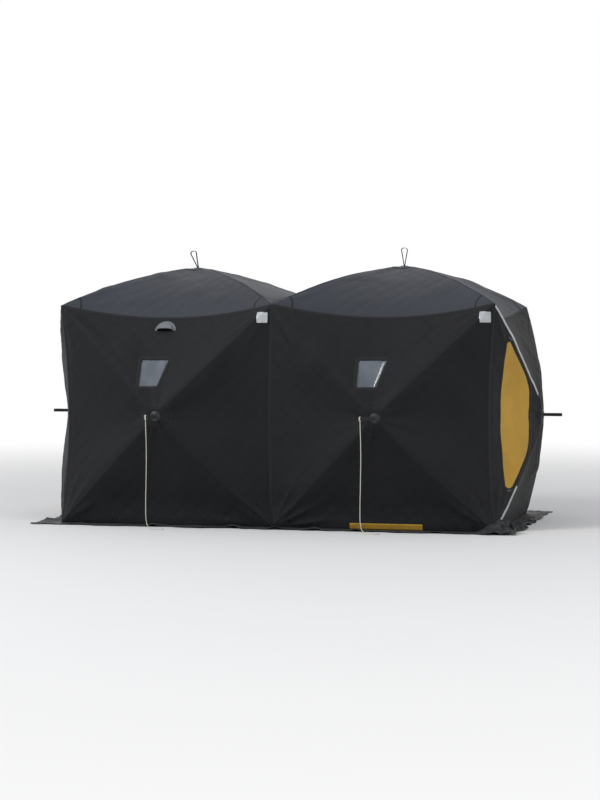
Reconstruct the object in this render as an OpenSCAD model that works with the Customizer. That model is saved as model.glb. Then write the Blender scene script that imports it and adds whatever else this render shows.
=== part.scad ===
// Pop-up ice fishing shelter with two bays: a sewn fabric shell on eight hubs with bent poles.
// Millimetres. The origin is the middle of the footprint on the ice, +X along the front, -Y to the front.

/* [Shell] */
// Length of the shelter over both bays
shelter_w = 3600; // [3000:10:4200]
// Depth of the shelter from front to back
shelter_d = 1830; // [1500:10:2200]
// Height of the corners where walls and roof meet
eave_h = 1792; // [1600:1:1950]
// Rise of a roof hub over the corners
roof_rise = 327; // [250:1:400]
// How far a wall hub stands out of its corners
wall_rise = 260; // [200:1:300]
// Thickness of the quilted fabric
fabric_t = 5; // [4:0.5:7]
// Gap between two panels at a seam
seam_gap = 0.3; // [0.1:0.05:0.5]

/* [Shape of the panels] */
// Outward bow of a wall ridge over its straight line
wall_bow = 24; // [20:1:50]
// Outward bow of a roof ridge over its straight line
roof_bow = 45; // [30:1:55]
// Sag of a wall's fabric between two ridges
wall_sag = 40; // [10:1:50]
// Sag of a roof's fabric between two ridges
roof_sag = 20; // [5:1:30]
// How far the corner seams are drawn in at half height
corner_pull = 50; // [20:1:60]
// How far the eave dips between two corners
eave_dip = 110; // [60:1:130]
// How far the eave is drawn in between two corners
eave_pull = 70; // [30:1:80]
// How far the wall seam between the bays stands out
middle_bow = 60; // [20:1:80]
// How far the roof seam between the bays rises
valley_rise = 90; // [40:1:110]

/* [Hubs] */
// Diameter of the inner clamp plate and of the flat around it
plate_d = 100; // [90:1:106]
// Thickness of the clamp plate
plate_t = 4; // [3:0.5:6]
// Diameter of the hub's body
hub_d = 72; // [66:1:80]
// Height of the hub's body
hub_h = 34; // [30:1:40]
// Distance from the hub's axis to a pole's pivot
pivot_r = 25; // [22:1:27]
// Diameter of a pivot pin
pin_d = 6; // [4:0.5:8]
// Diameter of the bolt through hub, fabric and cap
bolt_d = 8; // [6:0.5:10]
// Diameter of the cap outside the fabric
cap_d = 84; // [70:1:96]
// Height of the cap
cap_h = 9; // [7:0.5:12]

/* [Poles] */
// Diameter of a pole
pole_d = 11; // [9:0.5:13]
// Outer diameter of the ferrule at the hub end
ferrule_d = 16; // [14:0.5:17]
// Length of the ferrule
ferrule_l = 70; // [50:1:90]
// Thickness of the flat tang between ferrule and pin
tang_t = 10; // [8:0.5:12]
// Diameter of the tip at the corner end
tip_d = 15; // [13.5:0.5:16]
// Length of the tip
tip_l = 44; // [36:1:50]
// Width of a corner socket
socket_w = 26; // [24:1:30]
// Length of a corner socket
socket_l = 60; // [50:1:70]
// Depth of a corner socket under the fabric
socket_t = 28; // [27:1:32]
// Running clearance of pins, bolts and tips
clearance = 0.3; // [0.2:0.05:0.5]

/* [Pull loops] */
// Width of the webbing
strap_w = 25; // [20:1:30]
// Thickness of the webbing
strap_t = 4; // [3:0.5:5]
// How far a loop stands out of its cap
loop_l = 150; // [110:1:170]
// Width of a loop at its far end
loop_w = 54; // [44:1:64]
// Sideways lean of the loop on the left roof hub
roof_lean = 18; // [0:1:30]
// Sideways lean of the loop on the left front hub
left_lean = 12; // [0:1:40]
// Sideways lean of the loop on the right front hub
right_lean = 38; // [0:1:40]

/* [Windows and doors] */
// Height of a window
window_h = 240; // [200:1:250]
// Width of a window at its top
window_top_w = 258; // [220:1:270]
// Width of a window at its bottom
window_foot_w = 172; // [140:1:180]
// Distance from the hub's axis to a window's upright side
window_side = 172; // [160:1:176]
// Height of a window's bottom over the hub's axis
window_foot = 226; // [222:1:240]
// Overlap of a pane behind the wall
pane_lap = 14; // [10:1:16]
// Thickness of a pane
pane_t = 1; // [0.5:0.1:1.5]
// Distance from the seam to the straight side of a door
door_edge = 185; // [150:1:215]
// Margin between a door and the ridges over its poles
door_margin = 30; // [26:1:50]
// Widest reach of a door from its straight side
door_reach = 474; // [400:1:550]
// Width of a door's foot
door_foot_w = 95; // [85:1:140]
// Radius of a door's corners
door_corner = 40; // [30:1:50]
// Width of a vent hood
vent_w = 150; // [120:1:170]
// How far a vent hood stands out
vent_out = 40; // [30:1:50]
// Distance from the height of the corners down to a vent's foot
vent_drop = 208; // [205:1:225]

/* [Trim] */
// Width of the snow skirt
skirt_w = 200; // [150:5:250]
// Thickness of the snow skirt
skirt_t = 3; // [2:0.5:4]
// Size of a reflective patch
patch_w = 90; // [70:1:100]
// Distance from a patch to the corner seam beside it
patch_side = 28; // [20:1:40]
// Distance from the height of the corners down to a patch
patch_drop = 60; // [50:1:80]
// Thickness of patches and bands
trim_t = 2; // [1.5:0.5:3]
// Distance from the hub's axis to the left end of the coloured band
band_left = 256; // [200:1:300]
// Length of the coloured band at the foot of the right bay
band_l = 590; // [500:5:700]
// Height of the coloured band
band_h = 48; // [35:1:60]
// Diameter of a guy rope
rope_d = 6; // [5:0.5:7]

/* [Hidden] */

// Half sizes of the three kinds of panel
bay_half = shelter_w / 4;
depth_half = shelter_d / 2;
eave_half = eave_h / 2;
// Flat part round each hub, as a share of the half size
flat = (plate_d + 8) / shelter_w * 2;
// Number of steps from the flat to the seam
panel_steps = 6;
// Smoothness of round parts, of long arcs and of rounded outlines
fine = 48;
arc_fine = 720;
corner_points = 6;

// The four edges of a panel, left, right, bottom and top, each as
// [pull towards the middle, push outwards, 1 for a mitred seam]
corner_edge = [corner_pull, -corner_pull, 1];
middle_edge = [0, middle_bow, 0];
valley_edge = [0, valley_rise, 0];
foot_edge = [0, 0, 0];
wall_eave = [eave_dip, -eave_pull, 1];
roof_eave = [eave_pull, -eave_dip, 1];

left_edges = [corner_edge, middle_edge, foot_edge, wall_eave];
right_edges = [middle_edge, corner_edge, foot_edge, wall_eave];
end_edges = [corner_edge, corner_edge, foot_edge, wall_eave];
left_top_edges = [roof_eave, valley_edge, roof_eave, roof_eave];
right_top_edges = [valley_edge, roof_eave, roof_eave, roof_eave];

// A panel is [half width, half height, rise of the hub, bow of the ridges, four edges, sag of the fabric]
left_bay = [bay_half, eave_half, wall_rise, wall_bow, left_edges, wall_sag];
right_bay = [bay_half, eave_half, wall_rise, wall_bow, right_edges, wall_sag];
end_bay = [depth_half, eave_half, wall_rise, wall_bow, end_edges, wall_sag];
left_top = [bay_half, depth_half, roof_rise, roof_bow, left_top_edges, roof_sag];
right_top = [bay_half, depth_half, roof_rise, roof_bow, right_top_edges, roof_sag];

// Height over the chord of a circular arc that falls from [x0, rise] to [x1, 0] with the given bow
function arc_radius(x0, x1, rise, bow) = (pow(x1 - x0, 2) + rise * rise) / (8 * bow) + bow / 2;
function arc_centre(x0, x1, rise, bow) =
    let (back = (arc_radius(x0, x1, rise, bow) - bow) / norm([x1 - x0, rise]))
    [(x0 + x1) / 2 - rise * back, rise / 2 - (x1 - x0) * back];
function arc_height(x, x0, x1, rise, bow) =
    let (c = arc_centre(x0, x1, rise, bow), r = arc_radius(x0, x1, rise, bow))
    c[1] + sqrt(r * r - pow(x - c[0], 2));

// Height of a ridge at a share m of the way from the hub to the corner
function ridge_height(p, m) =
    let (run = norm([p[0], p[1]]))
    m <= flat ? p[2] : arc_height(m * run, flat * run, run, p[2], p[3]);

// Point of a panel's surface, u and v from -1 to 1, at a depth under the outer face
function surface_point(p, u, v, depth) =
    let (upright = abs(v) >= abs(u),
        m = max(abs(u), abs(v)),
        t = m == 0 ? 0 : min(abs(u), abs(v)) / m,
        e = upright ? (v > 0 ? p[4][3] : p[4][2]) : (u > 0 ? p[4][1] : p[4][0]),
        between = 1 - t * t,
        grip = pow(m, 3),
        a = p[0] - seam_gap / 2,
        c = p[1] - seam_gap / 2,
        pull = between * grip * e[0],
        height = ridge_height(p, m) + between * (grip * e[1] - p[5] * 4 * m * (1 - m) * between),
        mitre_x = ((1 + u) * p[4][1][2] - (1 - u) * p[4][0][2]) / 2 * depth,
        mitre_y = ((1 + v) * p[4][3][2] - (1 - v) * p[4][2][2]) / 2 * depth)
    [u * a - mitre_x - (upright ? 0 : sign(u) * pull),
        v * c - mitre_y - (upright ? sign(v) * pull : 0),
        height - depth];

// Grid lines of a panel from seam to seam, and those of them that enclose a stretch of it
half_lines = [for (i = [0:panel_steps]) flat + (1 - flat) * i / panel_steps];
lines = concat([for (i = [panel_steps:-1:0]) -half_lines[i]], half_lines);
function lines_round(low, high) =
    let (last = len(lines) - 1,
        first = max([for (i = [0:last]) if (i == 0 || lines[i] <= low) i]),
        end = min([for (i = [0:last]) if (i == last || lines[i] >= high) i]))
    [for (i = [first:end]) lines[i]];

// Closed sheet between two depths of a panel, as a grid on each face and a strip round the edge
module sheet(p, from, to, s = lines, t = lines) {
    n = len(s);
    rows = len(t);
    face = n * rows;
    outer = [for (v = t) for (u = s) surface_point(p, u, v, from)];
    inner = [for (v = t) for (u = s) surface_point(p, u, v, to)];
    cells = [for (j = [0:rows - 2]) for (i = [0:n - 2]) [i, j]];
    upper_side = [for (c = cells)
        let (k = c[0] + c[1] * n, rising = (s[c[0]] + s[c[0] + 1]) * (t[c[1]] + t[c[1] + 1]) >= 0)
        each rising ? [[k, k + n + 1, k + 1], [k, k + n, k + n + 1]] : [[k, k + n, k + 1], [k + 1, k + n, k + n + 1]]];
    lower_side = [for (f = upper_side) [f[0] + face, f[2] + face, f[1] + face]];
    rim = concat([for (i = [0:n - 2]) i], [for (j = [0:rows - 2]) n - 1 + j * n],
        [for (i = [n - 1:-1:1]) i + (rows - 1) * n], [for (j = [rows - 1:-1:1]) j * n]);
    strip = [for (i = [0:len(rim) - 1])
        let (a = rim[i], b = rim[(i + 1) % len(rim)])
        each [[a, b, b + face], [a, b + face, a + face]]];
    polyhedron(concat(outer, inner), concat(upper_side, lower_side, strip));
}

// Outline with each corner rounded by its own radius, or kept sharp at a radius of 0
function rounded(points, radii) =
    [for (i = [0:len(points) - 1])
        let (n = len(points), a = points[(i + n - 1) % n], b = points[i], c = points[(i + 1) % n],
            ua = (a - b) / norm(a - b), uc = (c - b) / norm(c - b),
            half = acos(ua * uc) / 2,
            centre = b + (ua + uc) / norm(ua + uc) * radii[i] / sin(half),
            start = b + ua * radii[i] / tan(half) - centre,
            end = b + uc * radii[i] / tan(half) - centre,
            turn = 180 - 2 * half,
            way = sign(start[0] * end[1] - start[1] * end[0]))
        for (k = [0:radii[i] == 0 ? 0 : corner_points])
            let (w = way * turn * k / corner_points)
            centre + [start[0] * cos(w) - start[1] * sin(w), start[0] * sin(w) + start[1] * cos(w)]];

// Lines round a stretch in millimetres, with room for the pull of the seams and 1 % to spare
function cells_round(low, high, half) =
    let (a = low / half, b = high / half, room = eave_dip / half, spare = 0.01)
    lines_round(a + room * min(0, pow(a, 3)) - spare, b + room * max(0, pow(b, 3)) + spare);

// Piece of a panel's sheet inside an outline
module sheet_piece(p, from, to, outline) {
    x = [for (q = outline) q[0]];
    y = [for (q = outline) q[1]];
    intersection() {
        sheet(p, from, to, cells_round(min(x), max(x), p[0]), cells_round(min(y), max(y), p[1]));
        translate([0, 0, -2 * p[2]])
            linear_extrude(4 * p[2])
                polygon(outline);
    }
}

// Places of the panels: local x runs to the right and y up as seen from outside, z points outwards
module at_front(x) translate([x, -depth_half, eave_half]) rotate([90, 0, 0]) children();
module at_back(x) translate([x, depth_half, eave_half]) rotate([90, 0, 180]) children();
module at_left() translate([-shelter_w / 2, 0, eave_half]) rotate([90, 0, -90]) children();
module at_right() translate([shelter_w / 2, 0, eave_half]) rotate([90, 0, 90]) children();
module at_roof(x) translate([x, 0, eave_h]) children();

// Outline of a window, with one upright side
window_corner = 18;
function window_outline(grow) =
    let (left = -window_side - grow, foot = window_foot - grow, r = window_corner + grow)
    rounded([[left, foot], [left + window_foot_w + 2 * grow, foot],
        [left + window_top_w + 2 * grow, foot + window_h + 2 * grow], [left, foot + window_h + 2 * grow]],
        [r, r, r, r]);

// Outline of a D-shaped door: straight beside the corner seam, parallel to the ridges and round towards the hub
function door_outline(shrink) =
    let (side = door_edge - depth_half + shrink,
        slope = eave_half / depth_half,
        tip = -(door_margin + shrink) * norm([1, slope]) / slope,
        foot = shrink + slope * (door_edge - depth_half + door_foot_w) + door_margin * norm([1, slope]),
        bend = (tip - (side - 2 * shrink + door_reach)) / (1 / sin(atan(slope)) - 1),
        r = door_corner - shrink)
    rounded([[side, foot], [tip + foot / slope, foot], [tip, 0], [side, (tip - side) * slope]],
        [r, r + door_corner, bend, r]);

// Hole for the hub's bolt through the fabric
module bolt_hole(p) {
    translate([0, 0, p[2] - 2 * fabric_t])
        cylinder(d = bolt_d + 2 * clearance, h = 4 * fabric_t, $fn = fine);
}

module through_cut(p, outline) {
    translate([0, 0, -p[2]])
        linear_extrude(3 * p[2])
            polygon(outline);
}

module panel(p) {
    difference() {
        sheet(p, 0, fabric_t);
        bolt_hole(p);
        children();
    }
}

wall_colour = "#1b1c1e";
roof_colour = "#2c3038";
gold = "#b08a2e";

module wall(p, vented) {
    color(wall_colour)
        panel(p) {
            through_cut(p, window_outline(0));
            if (vented)
                vent_cut(p);
        }
}

// The back wall repeats the front one, and the vents are in the left bay
module front_left_wall() at_front(-bay_half) wall(left_bay, true);
module front_right_wall() at_front(bay_half) wall(right_bay, false);
module back_left_wall() at_back(-bay_half) wall(right_bay, true);
module back_right_wall() at_back(bay_half) wall(left_bay, false);

// Slot in the wall behind a vent's hood
vent_foot = eave_half - vent_drop;
vent_rim = 20;
vent_slot_h = 26;
module vent_cut(p) {
    translate([-vent_w / 2 + vent_rim, vent_foot + vent_rim / 2, -p[2]])
        cube([vent_w - 2 * vent_rim, vent_slot_h, 2 * p[2]]);
}

// Both end walls are the same panel, with its door on the left as seen from outside
module end_wall() {
    color(wall_colour)
        panel(end_bay)
            through_cut(end_bay, door_outline(0));
}
module right_end_wall() at_right() end_wall();
module left_end_wall() at_left() end_wall();

module door_flap() color(gold) sheet_piece(end_bay, 0, fabric_t, door_outline(seam_gap));
module right_door() at_right() door_flap();
module left_door() at_left() door_flap();

module left_roof() at_roof(-bay_half) color(roof_colour) panel(left_top);
module right_roof() at_roof(bay_half) color(roof_colour) panel(right_top);

pane_from = fabric_t + clearance;
module window_pane(p) {
    color("#9fb2bd", 0.5)
        sheet_piece(p, pane_from, pane_from + pane_t, window_outline(pane_lap));
}
module front_left_window() at_front(-bay_half) window_pane(left_bay);
module front_right_window() at_front(bay_half) window_pane(right_bay);
module back_left_window() at_back(-bay_half) window_pane(right_bay);
module back_right_window() at_back(bay_half) window_pane(left_bay);

// Direction of the four corners from the hub
function corner_angles(p) =
    let (w = atan2(p[1], p[0]))
    [w, 180 - w, 180 + w, -w];

// Room between the sockets of a corner, end wall of a socket's bore, and how low the bore lies in the socket
socket_room = 6;
socket_wall = 8;
bore_low = 3;
socket_start = (fabric_t + socket_t) * sqrt(2) + socket_w / 2 + socket_room;

// Depths of pin and tip under the fabric, and what a pole bows more than its ridge
pin_depth = fabric_t + clearance + plate_t + hub_h / 2;
tip_depth = fabric_t + clearance + socket_t / 2 + bore_low;
pole_bow_extra = 2;

// A pole's axis in the plane of its ridge: from the pin at the hub to the tip's end in the corner socket
function pole_start(p) = [pivot_r, p[2] - pin_depth];
function pole_end(p) =
    let (run = norm([p[0], p[1]]), x = run - socket_start - socket_wall)
    [x, arc_height(x, flat * run, run, p[2], p[3]) - tip_depth];
function pole_centre(p) =
    let (a = pole_start(p), b = pole_end(p), c = arc_centre(a[0], b[0], a[1] - b[1], p[3] + pole_bow_extra))
    [c[0], c[1] + b[1]];
function pole_radius(p) = norm(pole_start(p) - pole_centre(p));
function angle_of(p, point) = atan2(point[1] - pole_centre(p)[1], point[0] - pole_centre(p)[0]);

// Local frame at a point of the pole's axis, x along the pole towards the corner
module along_pole(p, point) {
    translate([point[0], 0, point[1]])
        rotate([0, 90 - angle_of(p, point), 0])
            children();
}

module pole_rod(p) {
    c = pole_centre(p);
    a = angle_of(p, pole_start(p));
    b = angle_of(p, pole_end(p));
    inset = ferrule_l / 2 / pole_radius(p) * 180 / PI;
    translate([c[0], 0, c[1]])
        rotate([90, 0, 0])
            rotate([0, 0, b])
                rotate_extrude(angle = a - b - inset, $fn = arc_fine)
                    translate([pole_radius(p), 0])
                        circle(d = pole_d, $fn = 24);
}

// Sleeve on the pole with a flat tang that is round about the pin and reaches into the sleeve
tang_l = 13;
tang_in = 4;
module ferrule(p) {
    along_pole(p, pole_start(p))
        difference() {
            union() {
                translate([tang_l - tang_in, 0, 0])
                    rotate([0, 90, 0])
                        cylinder(d = ferrule_d, h = ferrule_l - tang_l + tang_in, $fn = fine);
                translate([0, -tang_t / 2, -pin_d])
                    cube([tang_l, tang_t, 2 * pin_d]);
                rotate([90, 0, 0])
                    cylinder(r = pin_d, h = tang_t, center = true, $fn = fine);
            }
            rotate([90, 0, 0])
                cylinder(d = pin_d + 2 * clearance, h = 2 * ferrule_d, center = true, $fn = fine);
        }
}

module tip(p) {
    along_pole(p, pole_end(p)) {
        translate([-tip_l, 0, 0])
            rotate([0, 90, 0])
                cylinder(d = tip_d, h = tip_l - tip_d / 2, $fn = fine);
        translate([-tip_d / 2, 0, 0])
            sphere(d = tip_d, $fn = fine);
    }
}

module pole_set(p) {
    for (w = corner_angles(p))
        rotate([0, 0, w]) {
            color("#c9c2a8") pole_rod(p);
            color("silver") ferrule(p);
            color("#202020") tip(p);
        }
}

module front_left_poles() at_front(-bay_half) pole_set(left_bay);
module front_right_poles() at_front(bay_half) pole_set(right_bay);
module back_left_poles() at_back(-bay_half) pole_set(right_bay);
module back_right_poles() at_back(bay_half) pole_set(left_bay);
module left_end_poles() at_left() pole_set(end_bay);
module right_end_poles() at_right() pole_set(end_bay);
module roof_left_poles() at_roof(-bay_half) pole_set(left_top);
module roof_right_poles() at_roof(bay_half) pole_set(right_top);

// Hub: a clamp plate on the fabric and a body with four slots, each with a pin across it
slot_room = 2;
pin_grip = 2;
module hub(p) {
    top = p[2] - fabric_t - clearance;
    slot_w = tang_t + 2 * clearance;
    slot_in = pivot_r - pin_d - slot_room;
    mouth_w = ferrule_d + slot_room;
    color("#8c8f92") {
        difference() {
            union() {
                translate([0, 0, top - plate_t])
                    cylinder(d = plate_d, h = plate_t, $fn = fine);
                translate([0, 0, top - plate_t - hub_h])
                    cylinder(d = hub_d, h = hub_h + plate_t / 2, $fn = fine);
            }
            translate([0, 0, top - plate_t - hub_h / 2])
                cylinder(d = bolt_d + 2 * clearance, h = 2 * hub_h, $fn = fine);
            for (w = corner_angles(p))
                rotate([0, 0, w]) {
                    translate([slot_in, -slot_w / 2, top - plate_t - 2 * hub_h])
                        cube([hub_d, slot_w, 2 * hub_h]);
                    translate([pivot_r + pin_d, -mouth_w / 2, top - plate_t - 2 * hub_h])
                        cube([hub_d, mouth_w, 2 * hub_h]);
                }
        }
        for (w = corner_angles(p))
            rotate([0, 0, w])
                translate([pivot_r, 0, p[2] - pin_depth])
                    rotate([90, 0, 0])
                        cylinder(d = pin_d, h = slot_w + 2 * pin_grip, center = true, $fn = fine);
    }
}

module front_left_hub() at_front(-bay_half) hub(left_bay);
module front_right_hub() at_front(bay_half) hub(right_bay);
module back_left_hub() at_back(-bay_half) hub(right_bay);
module back_right_hub() at_back(bay_half) hub(left_bay);
module left_end_hub() at_left() hub(end_bay);
module right_end_hub() at_right() hub(end_bay);
module roof_left_hub() at_roof(-bay_half) hub(left_top);
module roof_right_hub() at_roof(bay_half) hub(right_top);

// Corner sockets: blocks that follow the inner face, each with a blind bore for a pole's tip
module socket(p, w) {
    run = norm([p[0], p[1]]);
    far = run - socket_start;
    near = far - socket_l;
    dir = [cos(w), sin(w)];
    side = [-sin(w), cos(w)] * socket_w / 2;
    outline = [near * dir - side, far * dir - side, far * dir + side, near * dir + side];
    difference() {
        sheet_piece(p, fabric_t + clearance, fabric_t + clearance + socket_t, outline);
        rotate([0, 0, w])
            along_pole(p, pole_end(p)) {
                translate([-2 * socket_l, 0, 0])
                    rotate([0, 90, 0])
                        cylinder(d = tip_d + 2 * clearance, h = 2 * socket_l, $fn = fine);
            }
    }
}

module sockets(p) {
    for (w = corner_angles(p))
        socket(p, w);
}

module corner_sockets() {
    color("#26282b") {
        at_front(-bay_half) sockets(left_bay);
        at_front(bay_half) sockets(right_bay);
        at_back(-bay_half) sockets(right_bay);
        at_back(bay_half) sockets(left_bay);
        at_left() sockets(end_bay);
        at_right() sockets(end_bay);
        at_roof(-bay_half) sockets(left_top);
        at_roof(bay_half) sockets(right_top);
    }
}

// Cap with a bolt into the hub and a loop of webbing that stands out of it
module pull_loop(p, lean) {
    base = p[2] + clearance;
    bolt_l = fabric_t + plate_t + hub_h / 2;
    color("#303234") {
        translate([0, 0, base])
            cylinder(d1 = cap_d, d2 = cap_d - 2 * cap_h, h = cap_h, $fn = fine);
        translate([0, 0, base + cap_h / 2 - bolt_l])
            cylinder(d = bolt_d, h = bolt_l, $fn = fine);
    }
    color("#3a3c3e")
        translate([0, 0, base + cap_h - strap_t])
            rotate([90, 0, 0])
                rotate([0, 0, lean])
                    linear_extrude(strap_w, center = true)
                        difference() {
                            loop_outline(0);
                            loop_outline(strap_t);
                        }
}

// Webbing folded to a teardrop: both ends held side by side in the cap, round at the far side
loop_bend = 18;
module loop_outline(inset) {
    reach = loop_l + strap_t;
    open = atan(loop_w / 2 / reach);
    foot = inset == 0 ? 0 : inset / sin(open) - strap_t;
    base = inset == 0 ? strap_t : 0;
    near = inset == 0 ? [[-base, foot], [base, foot]] : [[0, foot]];
    far = reach - inset;
    side = base + (far - foot) * tan(open);
    bend = loop_bend - inset;
    polygon(rounded(concat(near, [[side, far], [-side, far]]), concat([for (q = near) 0], [bend, bend])));
}

module roof_pull_loops() {
    at_roof(-bay_half) pull_loop(left_top, roof_lean);
    at_roof(bay_half) pull_loop(right_top, 0);
}
module front_pull_loops() {
    at_front(-bay_half) pull_loop(left_bay, left_lean);
    at_front(bay_half) pull_loop(right_bay, right_lean);
}
module back_pull_loops() {
    at_back(-bay_half) pull_loop(right_bay, 0);
    at_back(bay_half) pull_loop(left_bay, 0);
}
module end_pull_loops() {
    at_left() pull_loop(end_bay, 0);
    at_right() pull_loop(end_bay, 0);
}

// Snow skirts: flat flaps sewn to the foot of the walls, with mitred corners.
// Each starts as far out as its wall leans over the thickness of the skirt.
module skirt(length, p) {
    half = length / 2 - seam_gap;
    last = half_lines[panel_steps - 1];
    start = seam_gap + skirt_t * ridge_height(p, last) / ((1 - last) * p[1]);
    color("#18191b")
        linear_extrude(skirt_t)
            polygon([[-half - start, start], [half + start, start], [half + skirt_w, skirt_w], [-half - skirt_w, skirt_w]]);
}
module front_skirt() translate([0, -depth_half, 0]) rotate([0, 0, 180]) skirt(shelter_w, left_bay);
module back_skirt() translate([0, depth_half, 0]) skirt(shelter_w, left_bay);
module left_skirt() translate([-shelter_w / 2, 0, 0]) rotate([0, 0, 90]) skirt(shelter_d, end_bay);
module right_skirt() translate([shelter_w / 2, 0, 0]) rotate([0, 0, -90]) skirt(shelter_d, end_bay);

// Share of the way from the hub to the eave at which a panel's middle line has risen by y
function share_at(p, y, v, n) = n == 0 ? v : share_at(p, y, (y + pow(v, 3) * p[4][3][0]) / p[1], n - 1);
function middle_height(p, y) = surface_point(p, 0, share_at(p, y, y / p[1], 12), 0)[2];

// Vent hood: half a cone shell over a slot in the wall, leaning with the wall, open at its foot
vent_wall = 2;
vent_taper = 14;
vent_root = 14;
module vent_hood(p) {
    side = vent_w / 2;
    lip = side - vent_taper;
    base = middle_height(p, vent_foot);
    lean = atan((base - middle_height(p, vent_foot + side)) / side);
    color("#5b5e62")
        difference() {
            translate([0, vent_foot, base])
                rotate([-lean, 0, 0])
                    rotate_extrude(angle = 180, $fn = 2 * fine)
                        polygon([[side - vent_wall, -vent_root], [side, -vent_root], [side, 0],
                            [lip, vent_out], [0, vent_out], [0, vent_out - vent_wall],
                            [lip - vent_wall, vent_out - vent_wall], [side - vent_wall, 0]]);
            sheet(p, -clearance, 3 * p[2], cells_round(-vent_w, vent_w, p[0]),
                cells_round(vent_foot - vent_root, vent_foot + side, p[1]));
        }
}

module vents() {
    at_front(-bay_half) vent_hood(left_bay);
    at_back(-bay_half) vent_hood(right_bay);
}

// Reflective patches on the upper right corner of each front and back bay
patch_corner = 8;
module patch(p) {
    x = p[0] - patch_side - patch_w;
    y = p[1] - patch_drop - patch_w;
    r = patch_corner;
    color("#c9ccd0")
        sheet_piece(p, -clearance - trim_t, -clearance,
            rounded([[x, y], [x + patch_w, y], [x + patch_w, y + patch_w], [x, y + patch_w]], [r, r, r, r]));
}
module reflective_patches() {
    at_front(-bay_half) patch(left_bay);
    at_front(bay_half) patch(right_bay);
    at_back(-bay_half) patch(right_bay);
    at_back(bay_half) patch(left_bay);
}

// Coloured band sewn along the foot of the right front bay, just over the skirt
band_lift = 2;
module foot_band() {
    low = skirt_t + band_lift - eave_half;
    end = band_l - band_left;
    color(gold)
        at_front(bay_half)
            sheet_piece(right_bay, -clearance - trim_t, -clearance,
                [[-band_left, low], [end, low], [end, low + band_h], [-band_left, low + band_h]]);
}

// Guy rope: a tube swept along hand-chosen points, from the pull loop down to the ice and along it
rope_sides = 8;
rope_fall = [[0, 0], [0, 30], [1, 60], [2, 90], [3, 120], [4, 150], [5, 180], [5, 210], [6, 240], [6, 270],
    [6, 300], [6, 330], [6, 360], [5, 390], [5, 420], [4, 450], [4, 480], [3, 510], [3, 540], [2, 570],
    [1, 600], [1, 630], [0, 660], [0, 690], [0, 720], [0, 750], [1, 780], [3, 800], [6, 820]];
rope_lie = [[10, 44], [17, 29], [28, 17], [42, 9], [58, 4.5], [76, 3.2], [94, 3.1], [112, 3.1], [130, 3.1]];

// Ring of a tube at a point of its path, square to the path's direction
function path_way(path, i) =
    let (a = path[max(0, i - 1)], b = path[min(len(path) - 1, i + 1)])
    (b - a) / norm(b - a);
function ring(path, i, r) =
    let (w = path_way(path, i), side = [0, 1, 0], up = cross(w, side) / norm(cross(w, side)))
    [for (k = [0:rope_sides - 1])
        path[i] + r * (side * cos(360 * k / rope_sides) + up * sin(360 * k / rope_sides))];
module tube(path, d) {
    n = rope_sides;
    last = len(path) - 1;
    points = [for (i = [0:last]) each ring(path, i, d / 2)];
    skin = [for (i = [0:last - 1]) for (k = [0:n - 1])
        let (a = i * n + k, b = i * n + (k + 1) % n)
        each [[a, b, b + n], [a, b + n, a + n]]];
    polyhedron(points, concat([[for (k = [n - 1:-1:0]) k]], skin, [[for (k = [0:n - 1]) last * n + k]]));
}
function rope_top(x, lean) =
    [x - sin(lean) * (loop_l - strap_t), -depth_half - wall_rise - clearance - cap_h - cos(lean) * (loop_l - strap_t),
        eave_half - strap_w / 2 - clearance];
module guy_rope(x, lean) {
    top = rope_top(x, lean);
    path = concat([for (q = rope_fall) [q[0], 0, top[2] - q[1]]], [for (q = rope_lie) [q[0], 0, q[1]]]);
    color("#e8e6dc")
        translate([top[0], top[1], 0])
            tube(path, rope_d);
}
module left_guy_rope() guy_rope(-bay_half, left_lean);
module right_guy_rope() guy_rope(bay_half, right_lean);

// Stopper knot at the end of each rope, a barrel with a flat face where the rope meets it
knot_r = 7;
knot_l = 15;
knot_round = 4;
module knot(x, lean) {
    top = rope_top(x, lean);
    end = rope_lie[len(rope_lie) - 1];
    neck = knot_r - knot_round / 2;
    color("#e8e6dc")
        translate([top[0] + end[0] + clearance, top[1], knot_r])
            rotate([0, 90, 0])
                rotate_extrude($fn = fine)
                    polygon([[0, 0], [neck, 0], [knot_r, knot_round], [knot_r, knot_l - knot_round],
                        [neck, knot_l], [0, knot_l]]);
}
module rope_knots() {
    knot(-bay_half, left_lean);
    knot(bay_half, right_lean);
}

front_left_wall();
front_right_wall();
back_left_wall();
back_right_wall();
left_end_wall();
right_end_wall();
left_roof();
right_roof();
front_left_window();
front_right_window();
back_left_window();
back_right_window();
left_door();
right_door();
front_left_hub();
front_right_hub();
back_left_hub();
back_right_hub();
left_end_hub();
right_end_hub();
roof_left_hub();
roof_right_hub();
front_left_poles();
front_right_poles();
back_left_poles();
back_right_poles();
left_end_poles();
right_end_poles();
roof_left_poles();
roof_right_poles();
corner_sockets();
roof_pull_loops();
front_pull_loops();
back_pull_loops();
end_pull_loops();
front_skirt();
back_skirt();
left_skirt();
right_skirt();
vents();
reflective_patches();
foot_band();
left_guy_rope();
right_guy_rope();
rope_knots();
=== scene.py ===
"""Two-bay pop-up fishing shelter: its sewn shell, trim, ropes and finishes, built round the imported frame."""

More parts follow.
